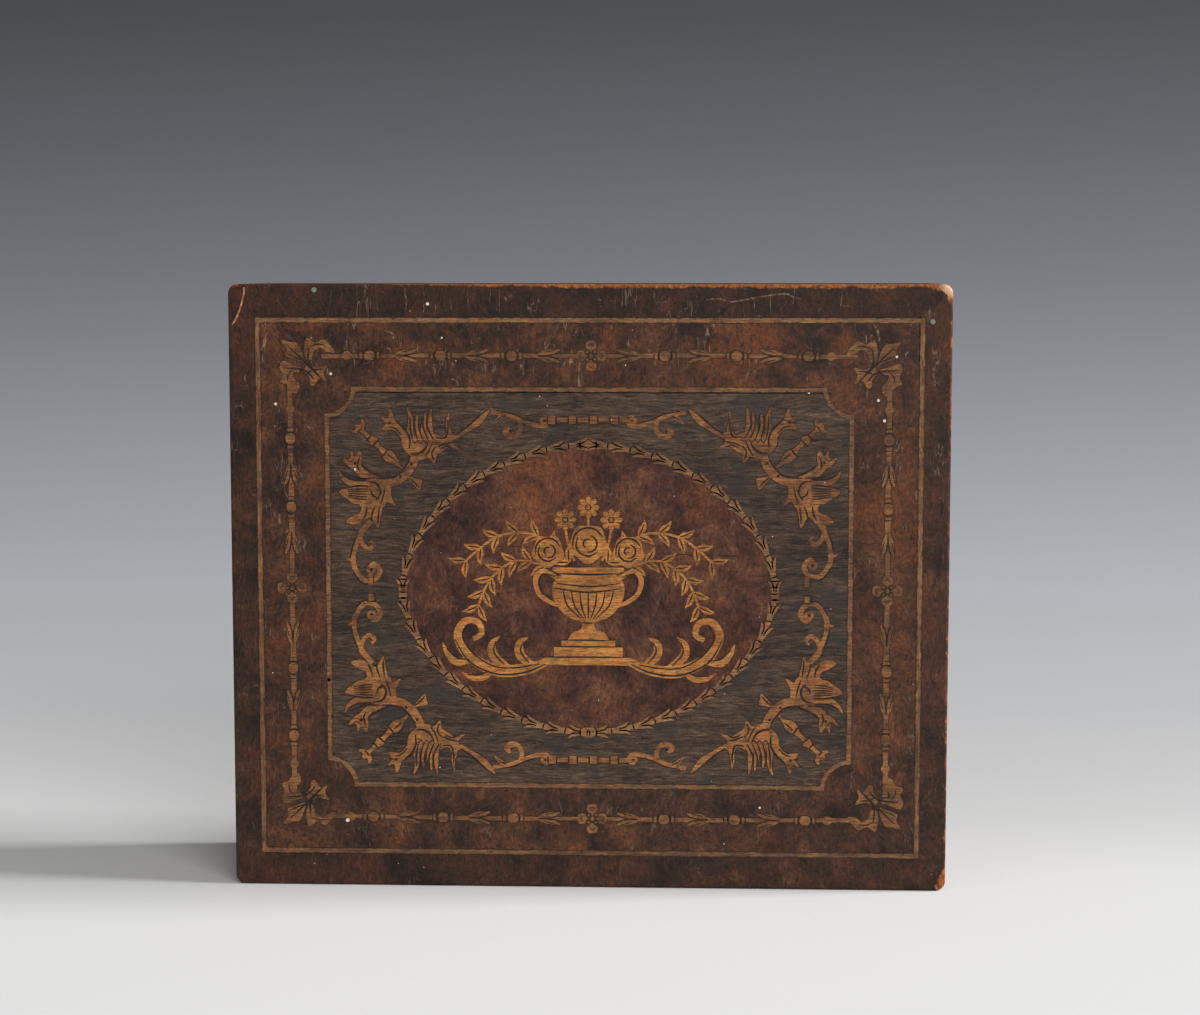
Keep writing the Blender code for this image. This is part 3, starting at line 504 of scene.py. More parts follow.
# The ground: a sheet of dark brown wood with its grain laid level, coarse and open. Light fibres
# show between long dark pores, and the sheet was chosen for its wavy, broken grain.
ground_wood, tree, place = blank("dark_open_grained_ground")
stir = put(tree, NOISE, {"Vector": place, "Scale": every(11), "Detail": 3.0}).node.outputs["Color"]
wavy = put(tree, VECTOR, {0: stir, 1: [4 * MM, 0.0, 2.6 * MM], 2: place}, operation="MULTIPLY_ADD")
tilt = (0.0, math.radians(-3.0), 0.0)
close = put(tree, MAPPING, {"Vector": wavy, "Rotation": tilt, "Scale": each(2.8, 2.8, 0.27)})
loose = put(tree, MAPPING, {"Vector": wavy, "Rotation": tilt, "Scale": each(14, 14, 1.0)})
fibre = put(tree, NOISE, {"Vector": close, "Scale": 1.0, "Detail": 4.0, "Roughness": 0.75})
bundle = put(tree, NOISE, {"Vector": loose, "Scale": 1.0, "Detail": 4.0, "Roughness": 0.6})
cloud = put(tree, NOISE, {"Vector": place, "Scale": every(12), "Detail": 5.0, "Roughness": 0.65})
grit = put(tree, NOISE, {"Vector": place, "Scale": every(0.4), "Detail": 2.0, "Roughness": 0.8})
tone = put(tree, MATH, {0: fibre, 1: 0.47}, operation="MULTIPLY")
for part, share in ((bundle, 0.2), (cloud, 0.18), (grit, 0.15)):
    tone = put(tree, MATH, {0: part, 1: share, 2: tone}, operation="MULTIPLY_ADD")
GROUND_STOPS = [(0.41, "#19110c"), (0.46, "#2e2119"), (0.51, "#433328"), (0.57, "#594535"), (0.63, "#775f48")]
colour = put(tree, RAMP, {"Fac": tone}, stops=GROUND_STOPS)
# Darker at mid-height, where it was rubbed most, and stained almost black in patches
height = put(tree, "ShaderNodeSeparateXYZ", {0: place}).node.outputs["Z"]
height = put(tree, MATH, {0: height, 1: MIDDLE_Z}, operation="SUBTRACT")
height = put(tree, MATH, {0: height}, operation="ABSOLUTE")
shade = put(tree, SPREAD, {0: height, 1: 0.0, 2: 40 * MM, 3: 0.74, 4: 0.99})
colour = put(tree, MIX, {0: 1.0, 6: colour, 7: shade}, **TINTED)
stain = put(tree, NOISE, {"Vector": place, "Scale": every(8), "Detail": 2.0, "Distortion": 0.4})
stain = put(tree, SPREAD, {0: stain, 1: 0.57, 2: 0.68, 4: 0.6}, **SOFTLY)
colour = put(tree, MIX, {0: stain, 6: colour, 7: "#2b2925"}, **OVER)
rough = put(tree, SPREAD, {0: fibre, 1: 0.3, 2: 0.7, 3: 0.64, 4: 0.5})
looks = {"Base Color": colour, "Roughness": rough, "IOR": 1.5, "Specular IOR Level": 0.25}
surface(tree, looks, tone, 0.07)
dress(ground_wood, "ground_panel")


# The oval: one sheet of red burr, chosen for its flames of orange among maroon, inside the wreath.
# It is let in flush and its figure stands upright.
OVAL_STOPS = [(0.35, "#1d0c0a"), (0.45, "#391f18"), (0.54, "#4b2c20"), (0.66, "#66412a")]
red_burr = burr("red_burr_oval", OVAL_STOPS, "#82461f", flames=0.36, streak=0.4, scratches=0.2, tone=0.95)
dress(red_burr, "oval_panel")


# The garland in the border: a thin boxwood strip with a husk of two leaves and a bead by turns, let
# into the burr with dark glue and drawn over in pen. It runs from each corner to a rosette.
INLAY_DEPTHS = (0.015, 0.075)
GLUE_DEPTHS = (0.04, 0.075)
INK_DEPTHS = (0.0, 0.04)
UNDER_DEPTHS = (0.025, 0.075)
UNDER_INK_DEPTHS = (0.02, 0.05)
GLUE = 0.2
LINE_STEPS = 5
QUARTERS = [(1, 1), (-1, 1), (1, -1), (-1, -1)]


def smooth_line(points, closed=False):
    """A smooth line through points of any number of values, each stretch in equal steps."""
    count = len(points)
    line = []
    for i in range(count if closed else count - 1):
        near = [i + k for k in (-1, 0, 1, 2)]
        near = [points[k % count] if closed else points[min(max(k, 0), count - 1)] for k in near]
        for step in range(LINE_STEPS):
            t = step / LINE_STEPS
            pulls = (-t + 2 * t**2 - t**3, 2 - 5 * t**2 + 3 * t**3, t + 4 * t**2 - 3 * t**3, t**3 - t**2)
            line.append([sum(w / 2 * p[axis] for w, p in zip(pulls, near)) for axis in range(len(points[0]))])
    return line if closed else [*line, list(points[-1])]


def stroke(points, widths, grow=0.0):
    """Tiles of a sawn or drawn stroke through points, with a width at each of them."""
    line = smooth_line([(*point, width) for point, width in zip(points, widths)])
    sides = []
    for i, (u, v, width) in enumerate(line):
        before, after = line[max(i - 1, 0)], line[min(i + 1, len(line) - 1)]
        along = Vector((after[0] - before[0], after[1] - before[1])).normalized()
        half = (max(width, 0.06) + grow) / 2
        sides.append(((u - along.y * half, v + along.x * half), (u + along.y * half, v - along.x * half)))
    return [[left, right, ahead_right, ahead_left]
            for (left, right), (ahead_left, ahead_right) in zip(sides, sides[1:])]


def pen(points, width=0.22):
    """A pen line that thins towards its ends."""
    return stroke(points, [width * 0.8, *[width * 1.3] * (len(points) - 2), width * 0.6])


def blob(points, grow=0.0):
    """One tile with a smooth outline through points, and the outline itself where it has to grow."""
    outline = smooth_line(points, closed=True)
    closed = [*outline, outline[0], outline[1]]
    return [outline, *(stroke(closed, [0.0] * len(closed), grow) if grow else [])]


def disc(u, v, radius, grow=0.0, count=14):
    """One round tile."""
    turns = [2 * math.pi * i / count for i in range(count)]
    return [[(u + (radius + grow / 2) * math.cos(a), v + (radius + grow / 2) * math.sin(a)) for a in turns]]


def flip(tiles, axis):
    """Tiles mirrored across the line that they lie along (axis 1), or end for end (axis 0)."""
    return [[(-u, v) if axis == 0 else (u, -v) for u, v in tile] for tile in tiles]


def flat_mesh(name, tiles, depths, lift=MIDDLE_Z, ways=((1, 1, 0.0, 0.0),)):
    """Joins tiles in millimetres into closed plates between two depths behind the lid's face."""
    corners, edges = [], []
    for tile in tiles:
        ring = range(len(corners), len(corners) + len(tile))
        edges += zip(ring, [*ring[1:], ring[0]])
        corners += [Vector(corner) for corner in tile]
    spots, _, pieces, *_ = delaunay_2d_cdt(corners, edges, [], 1, 1e-4, False)
    middles = np.array([sum((spots[i] for i in piece), Vector((0, 0))) / 3 for piece in pieces])
    covered = np.zeros(len(pieces), bool)
    for tile in tiles:
        inside = np.zeros(len(pieces), bool)
        for (u, v), (next_u, next_v) in zip(tile, [*tile[1:], tile[0]]):
            crossed = (v > middles[:, 1]) != (next_v > middles[:, 1])
            reach = (middles[:, 1] - v) * (next_u - u) / ((next_v - v) or 1.0) + u
            inside ^= crossed & (middles[:, 0] < reach)
        covered |= inside
    pieces = [piece for piece, inside in zip(pieces, covered) if inside]
    sides = [(piece[i - 1], piece[i]) for piece in pieces for i in range(len(piece))]
    known = set(sides)
    rim = [side for side in sides if side[::-1] not in known]
    verts, faces = [], []
    for across, up, shift_u, shift_v in ways:
        first, back = len(verts), len(verts) + len(spots)
        for depth in depths:
            y = FACE_Y + depth * MM
            verts += [((across * u + shift_u) * MM, y, (up * v + shift_v) * MM + lift) for u, v in spots]
        made = [[first + i for i in piece] for piece in pieces]
        made += [[back + i for i in reversed(piece)] for piece in pieces]
        made += [[first + b, first + a, back + a, back + b] for a, b in rim]
        faces += made if across * up > 0 else [face[::-1] for face in made]
    mesh = bpy.data.meshes.new(name)
    mesh.from_pydata(verts, [], faces)
    return mesh


def lay(name, mesh, material):
    """Puts a finished mesh on the lid as a piece of its own."""
    mesh.materials.clear()
    mesh.materials.append(material)
    piece = bpy.data.objects.new(name, mesh)
    bpy.context.scene.collection.objects.link(piece)
    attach(piece, "lid")


def lay_flat(name, tiles, material, depths=INLAY_DEPTHS, slot="boxwood", **placing):
    """Lays tiles on the lid as one flat piece."""
    lay(name, flat_mesh(name, tiles, depths, **placing), material)


def lay_quarters(name, tiles, shifts=((0.0, 0.0),) * 4, **looks):
    """Lays tiles drawn for the upper right quarter in all four quarters, each set by hand a little off."""
    ways = [(*quarter, *shift) for quarter, shift in zip(QUARTERS, shifts)]
    lay_flat(name, tiles, ways=ways, **looks)


def mottled(name, size, detail, stops, soft=0.5, **looks):
    """A finish of one mottled colour, in patches of about this size in millimetres."""
    material, tree, place = blank(name)
    patch = put(tree, NOISE, {"Vector": place, "Scale": every(size), "Detail": detail, "Roughness": soft})
    surface(tree, {"Base Color": put(tree, RAMP, {"Fac": patch}, stops=stops), **looks})
    return material


# Pen ink: iron-gall black that has browned, sunk into the wood, and rubbed away in places
pen_ink, tree, place = blank("browned_pen_ink")
blot = put(tree, NOISE, {"Vector": place, "Scale": every(0.8), "Detail": 3.0})
colour = put(tree, RAMP, {"Fac": blot}, stops=[(0.35, "#120c09"), (0.65, "#2e1f16")])
rubbed = put(tree, NOISE, {"Vector": place, "Scale": every(1.6), "Detail": 4.0, "Roughness": 0.7})
rubbed = put(tree, SPREAD, {0: rubbed, 1: 0.52, 2: 0.68, 4: 0.6}, **SOFTLY)
colour = put(tree, MIX, {0: rubbed, 6: colour, 7: "#47301c"}, **OVER)
rough = put(tree, SPREAD, {0: blot, 1: 0.3, 2: 0.7, 3: 0.5, 4: 0.68})
surface(tree, {"Base Color": colour, "Roughness": rough, "IOR": 1.45, "Specular IOR Level": 0.25})

# Hide glue in the joints: brown, and darkened by the dirt that it holds
GLUE_STOPS = [(0.36, "#150e0a"), (0.52, "#281a13"), (0.66, "#3d2a1d")]
GLUE_LOOKS = {"Roughness": 0.6, "IOR": 1.5, "Specular IOR Level": 0.25}
hide_glue = mottled("dirty_hide_glue", 1.4, 4.0, GLUE_STOPS, soft=0.7, **GLUE_LOOKS)


def along_path_tree():
    """Sets two shapes by turns along curves, each turned to the curve's direction in the lid's plane."""
    tree = bpy.data.node_groups.new("inlay_along_path", "GeometryNodeTree")
    kinds = {"Path": "Geometry", "Count": "Int", "First": "Object", "Second": "Object"}
    for name, kind in {**kinds, "Material": "Material"}.items():
        tree.interface.new_socket(name, in_out="INPUT", socket_type=f"NodeSocket{kind}")
    tree.interface.new_socket("Inlay", in_out="OUTPUT", socket_type="NodeSocketGeometry")
    given = put(tree, "NodeGroupInput").node.outputs
    spread = {"Curve": given["Path"], "Count": given["Count"]}
    points = put(tree, "GeometryNodeCurveToPoints", spread, mode="COUNT")
    tangent = points.node.outputs["Tangent"]
    turn = put(tree, "FunctionNodeAlignRotationToVector", {"Vector": tangent}, axis="X", pivot_axis="Y")
    odd = put(tree, MATH, {0: put(tree, "GeometryNodeInputIndex"), 1: 2.0}, operation="MODULO")
    even = put(tree, MATH, {0: 1.0, 1: odd}, operation="SUBTRACT")
    joined = put(tree, "GeometryNodeJoinGeometry")
    for shape, chosen in (("First", even), ("Second", odd)):
        model = put(tree, "GeometryNodeObjectInfo", {"Object": given[shape]}).node.outputs["Geometry"]
        inputs = {"Points": points, "Selection": chosen, "Instance": model, "Rotation": turn}
        tree.links.new(put(tree, "GeometryNodeInstanceOnPoints", inputs), joined.node.inputs[0])
    real = put(tree, "GeometryNodeRealizeInstances", {"Geometry": joined})
    painted = put(tree, "GeometryNodeSetMaterial", {"Geometry": real, "Material": given["Material"]})
    put(tree, "NodeGroupOutput", {"Inlay": painted})
    return tree


inlay_along_path = along_path_tree()


def lay_along(name, paths, count, shapes, material, depths=INLAY_DEPTHS, slot="boxwood", closed=False):
    """Lays one shape, or two by turns, along paths in millimetres, and keeps the result as a plain mesh."""
    curve = bpy.data.curves.new(name, "CURVE")
    curve.dimensions = "3D"
    for path in paths:
        spline = curve.splines.new("POLY")
        spline.points.add(len(path) - 1)
        for point, (u, v) in zip(spline.points, path):
            point.co = (u * MM, 0.0, v * MM + MIDDLE_Z, 1.0)
        spline.use_cyclic_u = closed
    route = bpy.data.objects.new(f"{name}_path", curve)
    bpy.context.scene.collection.objects.link(route)
    meshes = [flat_mesh(f"{name}_shape", shape, depths, lift=0.0) for shape in shapes]
    models = [bpy.data.objects.new(mesh.name, mesh) for mesh in meshes]
    modifier = route.modifiers.new("inlay", "NODES")
    modifier.node_group = inlay_along_path
    values = {"Count": count, "First": models[0], "Second": models[-1], "Material": material}
    for item in inlay_along_path.interface.items_tree:
        if item.name in values:
            modifier[item.identifier] = values[item.name]
    graph = bpy.context.evaluated_depsgraph_get()
    mesh = bpy.data.meshes.new_from_object(route.evaluated_get(graph))
    mesh.name = name
    for done in (route, *models):
        bpy.data.objects.remove(done)
    lay(name, mesh, material)


INK = {"material": pen_ink, "depths": INK_DEPTHS, "slot": "rosewood"}
UNDER_INK = {**INK, "depths": UNDER_INK_DEPTHS}
DARK_GLUE = {"material": hide_glue, "depths": GLUE_DEPTHS, "slot": "rosewood"}
GARLAND_GLUE = GLUE + 0.06
THREAD_GLUE = GLUE + 0.08
GARLAND_U = 62.2
GARLAND_V = 48.7
LEVEL_UNITS = 6
UPRIGHT_UNITS = 4


def husk(grow=0.0):
    leaf = stroke([(-2.2, 0.1), (-0.8, 0.5), (0.8, 0.78), (2.5, 1.25)], [0.5, 1.05, 1.1, 0.3], grow)
    return leaf + flip(leaf, 1)


def bead(grow=0.0):
    ball = blob([(-0.9, 0.7), (0.0, 1.0), (0.9, 0.7), (0.9, -0.7), (0.0, -1.0), (-0.9, -0.7)], grow)
    ends = stroke([(-2.0, 0.0), (-1.6, 0.0)], [1.3, 1.3], grow)
    return ball + ends + flip(ends, 0)


husk_pen = pen([(-1.9, 0.0), (-0.2, 0.02), (2.2, 0.5)], 0.28)
husk_pen += pen([(-0.6, 0.75), (0.7, 1.05), (2.2, 1.5)], 0.16)
husk_pen += flip(husk_pen, 1)
bead_pen = pen([(1.2, -0.85), (1.35, 0.0), (1.2, 0.85)], 0.3)
bead_pen += pen([(2.2, -0.6), (2.3, 0.0), (2.2, 0.6)], 0.2)
bead_pen += flip(bead_pen, 0)
level_paths = [[(i * 45.5, k * GARLAND_V), (i * 8.5, k * GARLAND_V)] for i, k in QUARTERS]
upright_paths = [[(i * GARLAND_U, k * 31.4), (i * GARLAND_U, k * 9.8)] for i, k in QUARTERS]
for name, paths, count in (("level", level_paths, LEVEL_UNITS), ("upright", upright_paths, UPRIGHT_UNITS)):
    lay_along(f"{name}_garland", paths, count, (bead(), husk()), garland_tan)
    lay_along(f"{name}_garland_glue", paths, count, (bead(GARLAND_GLUE), husk(GARLAND_GLUE)), **DARK_GLUE)
    lay_along(f"{name}_garland_ink", paths, count, (bead_pen, husk_pen), **INK)


def thread(grow=0.0):
    """The strips between the units of one quarter, with a bead near the corner on each."""
    level = [(2.0, GARLAND_V), (20.0, GARLAND_V + 0.1), (38.0, GARLAND_V), (55.5, GARLAND_V - 0.2)]
    upright = [(GARLAND_U, 2.0), (GARLAND_U - 0.1, 15.0), (GARLAND_U, 28.0), (GARLAND_U, 43.5)]
    strips = stroke(level, [0.7, 0.95, 0.8, 0.9], grow) + stroke(upright, [0.9, 1.2, 1.0, 1.1], grow)
    return strips + disc(50.2, GARLAND_V, 0.95, grow) + disc(GARLAND_U, 37.5, 0.95, grow)


lay_quarters("garland_thread", thread(), material=garland_tan, depths=UNDER_DEPTHS)
lay_quarters("garland_thread_glue", thread(THREAD_GLUE), **DARK_GLUE)


# The rosettes at the middle of each side of the border: four round boxwood petals round a heart of the
# same wood, let in with glue, and drawn over in pen with an eye and short rays.
def circle(u, v, radius, count=40):
    """The points of a ring, from its top round by the left."""
    turns = [2 * math.pi * i / count for i in range(count)]
    return [(u - radius * math.sin(a), v + radius * math.cos(a)) for a in turns]


ROSETTES = [(0.6, GARLAND_V), (0.8, -GARLAND_V), (GARLAND_U, 0.0), (-GARLAND_U, 0.0)]
ROSETTE_PETALS = 4
RAYS = 8
EYE = 0.6


def petal(grow=0.0):
    return blob([(-0.7, 0.8), (0.7, 0.8), (1.15, 0.1), (0.75, -0.85), (-0.75, -0.85), (-1.15, 0.1)], grow)


def eye_and_rays(u, v, eye, reach, width):
    """A pen-drawn ring with short rays round it."""
    tiles = pen([*circle(u, v, eye, 12), (u, v + eye)], width)
    for k in range(RAYS):
        turn = 2 * math.pi * (k + 0.5) / RAYS
        marks = [(u + r * math.cos(turn), v + r * math.sin(turn)) for r in (eye, (eye + reach) / 2, reach)]
        tiles += pen(marks, width)
    return tiles


petal_pen = pen([(-0.5, 0.2), (0.0, -0.3), (0.5, 0.2)], 0.16)
rings = [circle(u, v, 2.15) for u, v in ROSETTES]
lay_along("rosette_petals", rings, ROSETTE_PETALS, (petal(),), garland_tan, closed=True)
lay_along("rosette_glue", rings, ROSETTE_PETALS, (petal(GLUE),), closed=True, **DARK_GLUE)
lay_along("rosette_ink", rings, ROSETTE_PETALS, (petal_pen,), closed=True, **INK)
hearts = [tile for u, v in ROSETTES for tile in disc(u, v, 1.3)]
lay_flat("rosette_hearts", hearts, garland_tan, UNDER_DEPTHS)
rays = [tile for u, v in ROSETTES for tile in eye_and_rays(u, v, EYE, 1.3, 0.26)]
lay_flat("rosette_rays", rays, **INK)


# The leaves in the border's corners: both garlands end there in boxwood leaves that cross, one round
# each end, one into the corner and one towards the ground, with their stems and veins in pen.
LEAF_SHIFTS = [(-1.2, 1.2), (1.7, 1.5), (0.0, 0.0), (1.0, 0.0)]


def corner_leaves(grow=0.0):
    return [
        *blob([(54.4, 47.9), (56.2, 48.0), (57.4, 48.8), (58.8, 48.0), (59.3, 46.3), (60.4, 46.5),
               (60.8, 48.6), (60.2, 50.9), (58.5, 49.9), (56.8, 50.6), (55.4, 49.4)], grow),
        *blob([(61.0, 45.9), (62.6, 46.3), (64.8, 47.2), (64.6, 48.6), (65.7, 50.4), (63.8, 50.0),
               (62.4, 49.8), (61.5, 48.3)], grow),
        *blob([(62.4, 39.4), (63.5, 39.6), (64.4, 41.0), (65.9, 41.7), (65.4, 43.2), (66.0, 44.6),
               (65.3, 46.1), (63.2, 45.3), (61.4, 44.7), (62.0, 43.8), (63.2, 43.6), (62.8, 42.3),
               (61.8, 41.2)], grow),
        *blob([(59.4, 45.3), (58.2, 44.7), (56.0, 45.1), (56.7, 43.6), (56.2, 41.8), (57.6, 42.5),
               (58.8, 41.0), (59.6, 41.2), (59.8, 42.6), (60.8, 43.9), (60.3, 45.2)], grow),
    ]


corner_pen = [
    *pen([(57.2, 42.4), (60.2, 45.4), (64.2, 49.2)], 0.34),
    *pen([(57.0, 44.4), (59.0, 44.2), (60.6, 43.2)], 0.26),
    *pen([(58.4, 43.9), (59.4, 44.9), (60.0, 46.4), (59.8, 48.8)], 0.3),
    *pen([(58.9, 42.3), (59.8, 43.4), (61.4, 44.3), (64.9, 44.6)], 0.3),
    *pen([(61.2, 46.2), (63.0, 46.9), (64.4, 47.6)], 0.22),
    *pen([(56.6, 49.4), (58.2, 49.5), (59.8, 48.9)], 0.2),
    *pen([(64.4, 42.0), (64.2, 43.2), (63.2, 44.2)], 0.2),
]
lay_quarters("corner_leaves", corner_leaves(), LEAF_SHIFTS, material=garland_tan)
lay_quarters("corner_leaf_glue", corner_leaves(GLUE), LEAF_SHIFTS, **DARK_GLUE)
lay_quarters("corner_leaf_ink", corner_pen, LEAF_SHIFTS, **INK)


# The arabesque on the ground: in each corner two winged beasts on one bent stem with a torch
# between them, and scrolls that run to a beaded bar at mid-side. All boxwood, sawn in one packet
# and so alike in all four corners, but set by hand, with feathers and eyes in pen.
BEAST_SHIFTS = [(1.0, -1.3), (-0.8, -1.7), (1.8, 0.5), (0.0, 0.0)]
UPRIGHT_SHIFTS = [(1.2, -0.3), (0.0, -1.6), (0.5, 0.3), (0.0, 0.0)]
LEVEL_SHIFTS = [(0.0, -0.9), (0.0, -0.9), (0.3, 0.2), (0.0, 0.0)]
upright_scroll = [
    *stroke([(45.9, 5.3), (45.0, 6.7), (43.7, 5.4), (44.6, 3.6), (46.8, 3.2), (48.7, 5.2), (49.3, 8.0),
             (48.6, 11.0), (47.4, 13.6), (45.4, 15.8)],
            [1.1, 1.1, 1.1, 1.0, 1.0, 1.1, 1.0, 1.1, 1.2, 1.0]),
    *disc(45.5, 5.6, 1.0),
    *stroke([(47.9, 12.6), (47.2, 10.8), (45.9, 9.9), (45.0, 10.8), (45.7, 11.5)], [0.9, 0.9, 0.9, 0.9, 0.8]),
    *stroke([(50.6, 7.8), (49.4, 7.5), (48.6, 7.7)], [0.2, 0.7, 0.3]),
]
level_scroll = [
    *stroke([(9.6, 36.3), (8.9, 36.9), (8.3, 36.1), (9.0, 35.1), (11.2, 35.3), (14.5, 36.7), (17.4, 37.6),
             (20.2, 37.9)],
            [0.9, 0.9, 0.9, 0.9, 1.0, 1.2, 1.1, 0.8]),
    *disc(9.2, 36.2, 0.9),
    *stroke([(14.4, 36.4), (14.0, 34.7), (14.8, 33.2), (16.3, 32.9), (17.2, 33.8), (16.3, 34.5)],
            [0.8, 0.9, 1.0, 1.2, 1.2, 0.9]),
    *stroke([(17.6, 37.5), (18.8, 36.4), (19.8, 35.5)], [0.8, 0.7, 0.2]),
]
beasts = [
    # The first beast: tail, body, wings, neck and head
    *blob([(50.0, 15.7), (47.9, 15.1), (46.2, 15.9), (44.8, 16.7), (43.9, 15.6), (43.1, 14.4), (42.7, 16.6),
           (42.3, 19.0), (44.2, 20.0), (46.3, 19.2), (46.9, 17.7), (48.4, 17.0)]),
    *blob([(46.6, 18.8), (42.2, 18.6), (41.2, 21.2), (41.8, 23.8), (44.4, 24.6), (46.6, 23.4), (47.2, 20.9)]),
    *blob([(51.3, 22.1), (49.6, 20.4), (47.8, 19.4), (45.6, 19.7), (44.8, 21.3), (46.0, 23.0), (48.6, 22.9)]),
    *stroke([(45.0, 23.5), (48.4, 23.8), (50.4, 24.9), (51.4, 26.4)], [1.7, 1.5, 1.0, 0.2]),
    *blob([(39.5, 19.1), (41.2, 19.9), (42.4, 19.4), (42.6, 23.0), (40.6, 23.6), (40.4, 21.2)]),
    *stroke([(41.8, 24.0), (44.0, 25.0), (46.3, 25.8), (47.9, 27.8)], [1.5, 1.7, 1.7, 2.0]),
    *blob([(47.0, 26.9), (48.8, 26.9), (50.6, 28.9), (49.0, 28.9), (48.7, 30.6), (47.9, 29.3), (46.8, 30.6),
           (46.4, 28.6)]),
    # The bent stem with a bud
    *stroke([(44.2, 23.8), (41.5, 23.8), (39.0, 24.4), (36.9, 26.2), (35.6, 28.4), (35.1, 30.2)],
            [1.5, 1.7, 1.8, 1.9, 1.8, 1.5]),
    *blob([(37.0, 25.2), (35.9, 23.8), (34.4, 22.2), (34.1, 23.4), (33.9, 24.6), (35.4, 24.9)]),
    # The second beast: body, neck, head, wing feathers and tail
    *blob([(36.0, 29.4), (34.2, 28.7), (32.6, 29.2), (31.3, 28.0), (30.8, 29.6), (29.2, 30.7), (28.0, 31.4),
           (25.9, 30.8), (27.4, 32.4), (26.8, 33.8), (28.4, 34.5), (29.6, 33.6), (31.2, 34.2), (33.6, 33.9),
           (35.6, 32.8)]),
    *stroke([(35.6, 30.0), (37.0, 31.6), (37.4, 33.6), (38.6, 35.2), (40.4, 36.3)],
            [1.5, 1.9, 1.8, 1.7, 1.9]),
    *blob([(39.5, 35.3), (42.2, 34.9), (41.5, 36.3), (42.4, 37.7), (41.0, 37.4), (40.5, 39.3), (39.6, 37.3)]),
    *stroke([(35.6, 31.5), (36.3, 34.5), (36.2, 37.3), (36.9, 39.6)], [1.5, 1.3, 0.9, 0.2]),
    *stroke([(34.4, 32.2), (34.9, 35.0), (34.8, 38.0)], [1.3, 1.1, 0.3]),
    *stroke([(33.2, 32.6), (33.5, 35.4), (33.1, 38.6)], [1.3, 1.1, 0.3]),
    *stroke([(32.0, 32.8), (32.2, 35.8), (31.9, 39.3)], [1.3, 1.1, 0.3]),
    *stroke([(29.2, 33.0), (28.2, 34.6), (28.5, 36.4), (28.2, 38.6)], [1.3, 1.1, 0.8, 0.2]),
    *stroke([(27.2, 33.2), (24.4, 35.0), (22.0, 36.8), (19.7, 39.2)], [0.7, 1.0, 1.5, 0.3]),
    # The torch between them
    *stroke([(47.6, 36.1), (46.9, 35.4), (46.1, 34.6), (44.8, 33.4), (43.9, 32.5), (43.2, 31.8), (41.9, 30.5),
             (41.0, 29.6), (40.0, 28.7), (39.3, 28.1), (38.0, 26.9)],
            [0.7, 1.6, 0.8, 1.0, 1.9, 0.9, 1.2, 2.3, 2.0, 1.0, 0.3]),
    *stroke([(46.6, 35.3), (47.6, 34.6), (48.5, 34.5)], [0.6, 0.9, 0.4]),
    *stroke([(46.4, 35.4), (46.2, 36.4), (46.4, 37.2)], [0.6, 0.9, 0.4]),
]


def grown(tiles, grow):
    """Tiles with each corner moved out, so that a rim shows round whatever is laid over them."""
    wide = []
    for tile in tiles:
        middle = sum((Vector(corner) for corner in tile), Vector((0.0, 0.0))) / len(tile)
        outs = [Vector(corner) - middle for corner in tile]
        wide.append([tuple(middle + out * (1 + grow / max(out.length, 0.3))) for out in outs])
    return wide


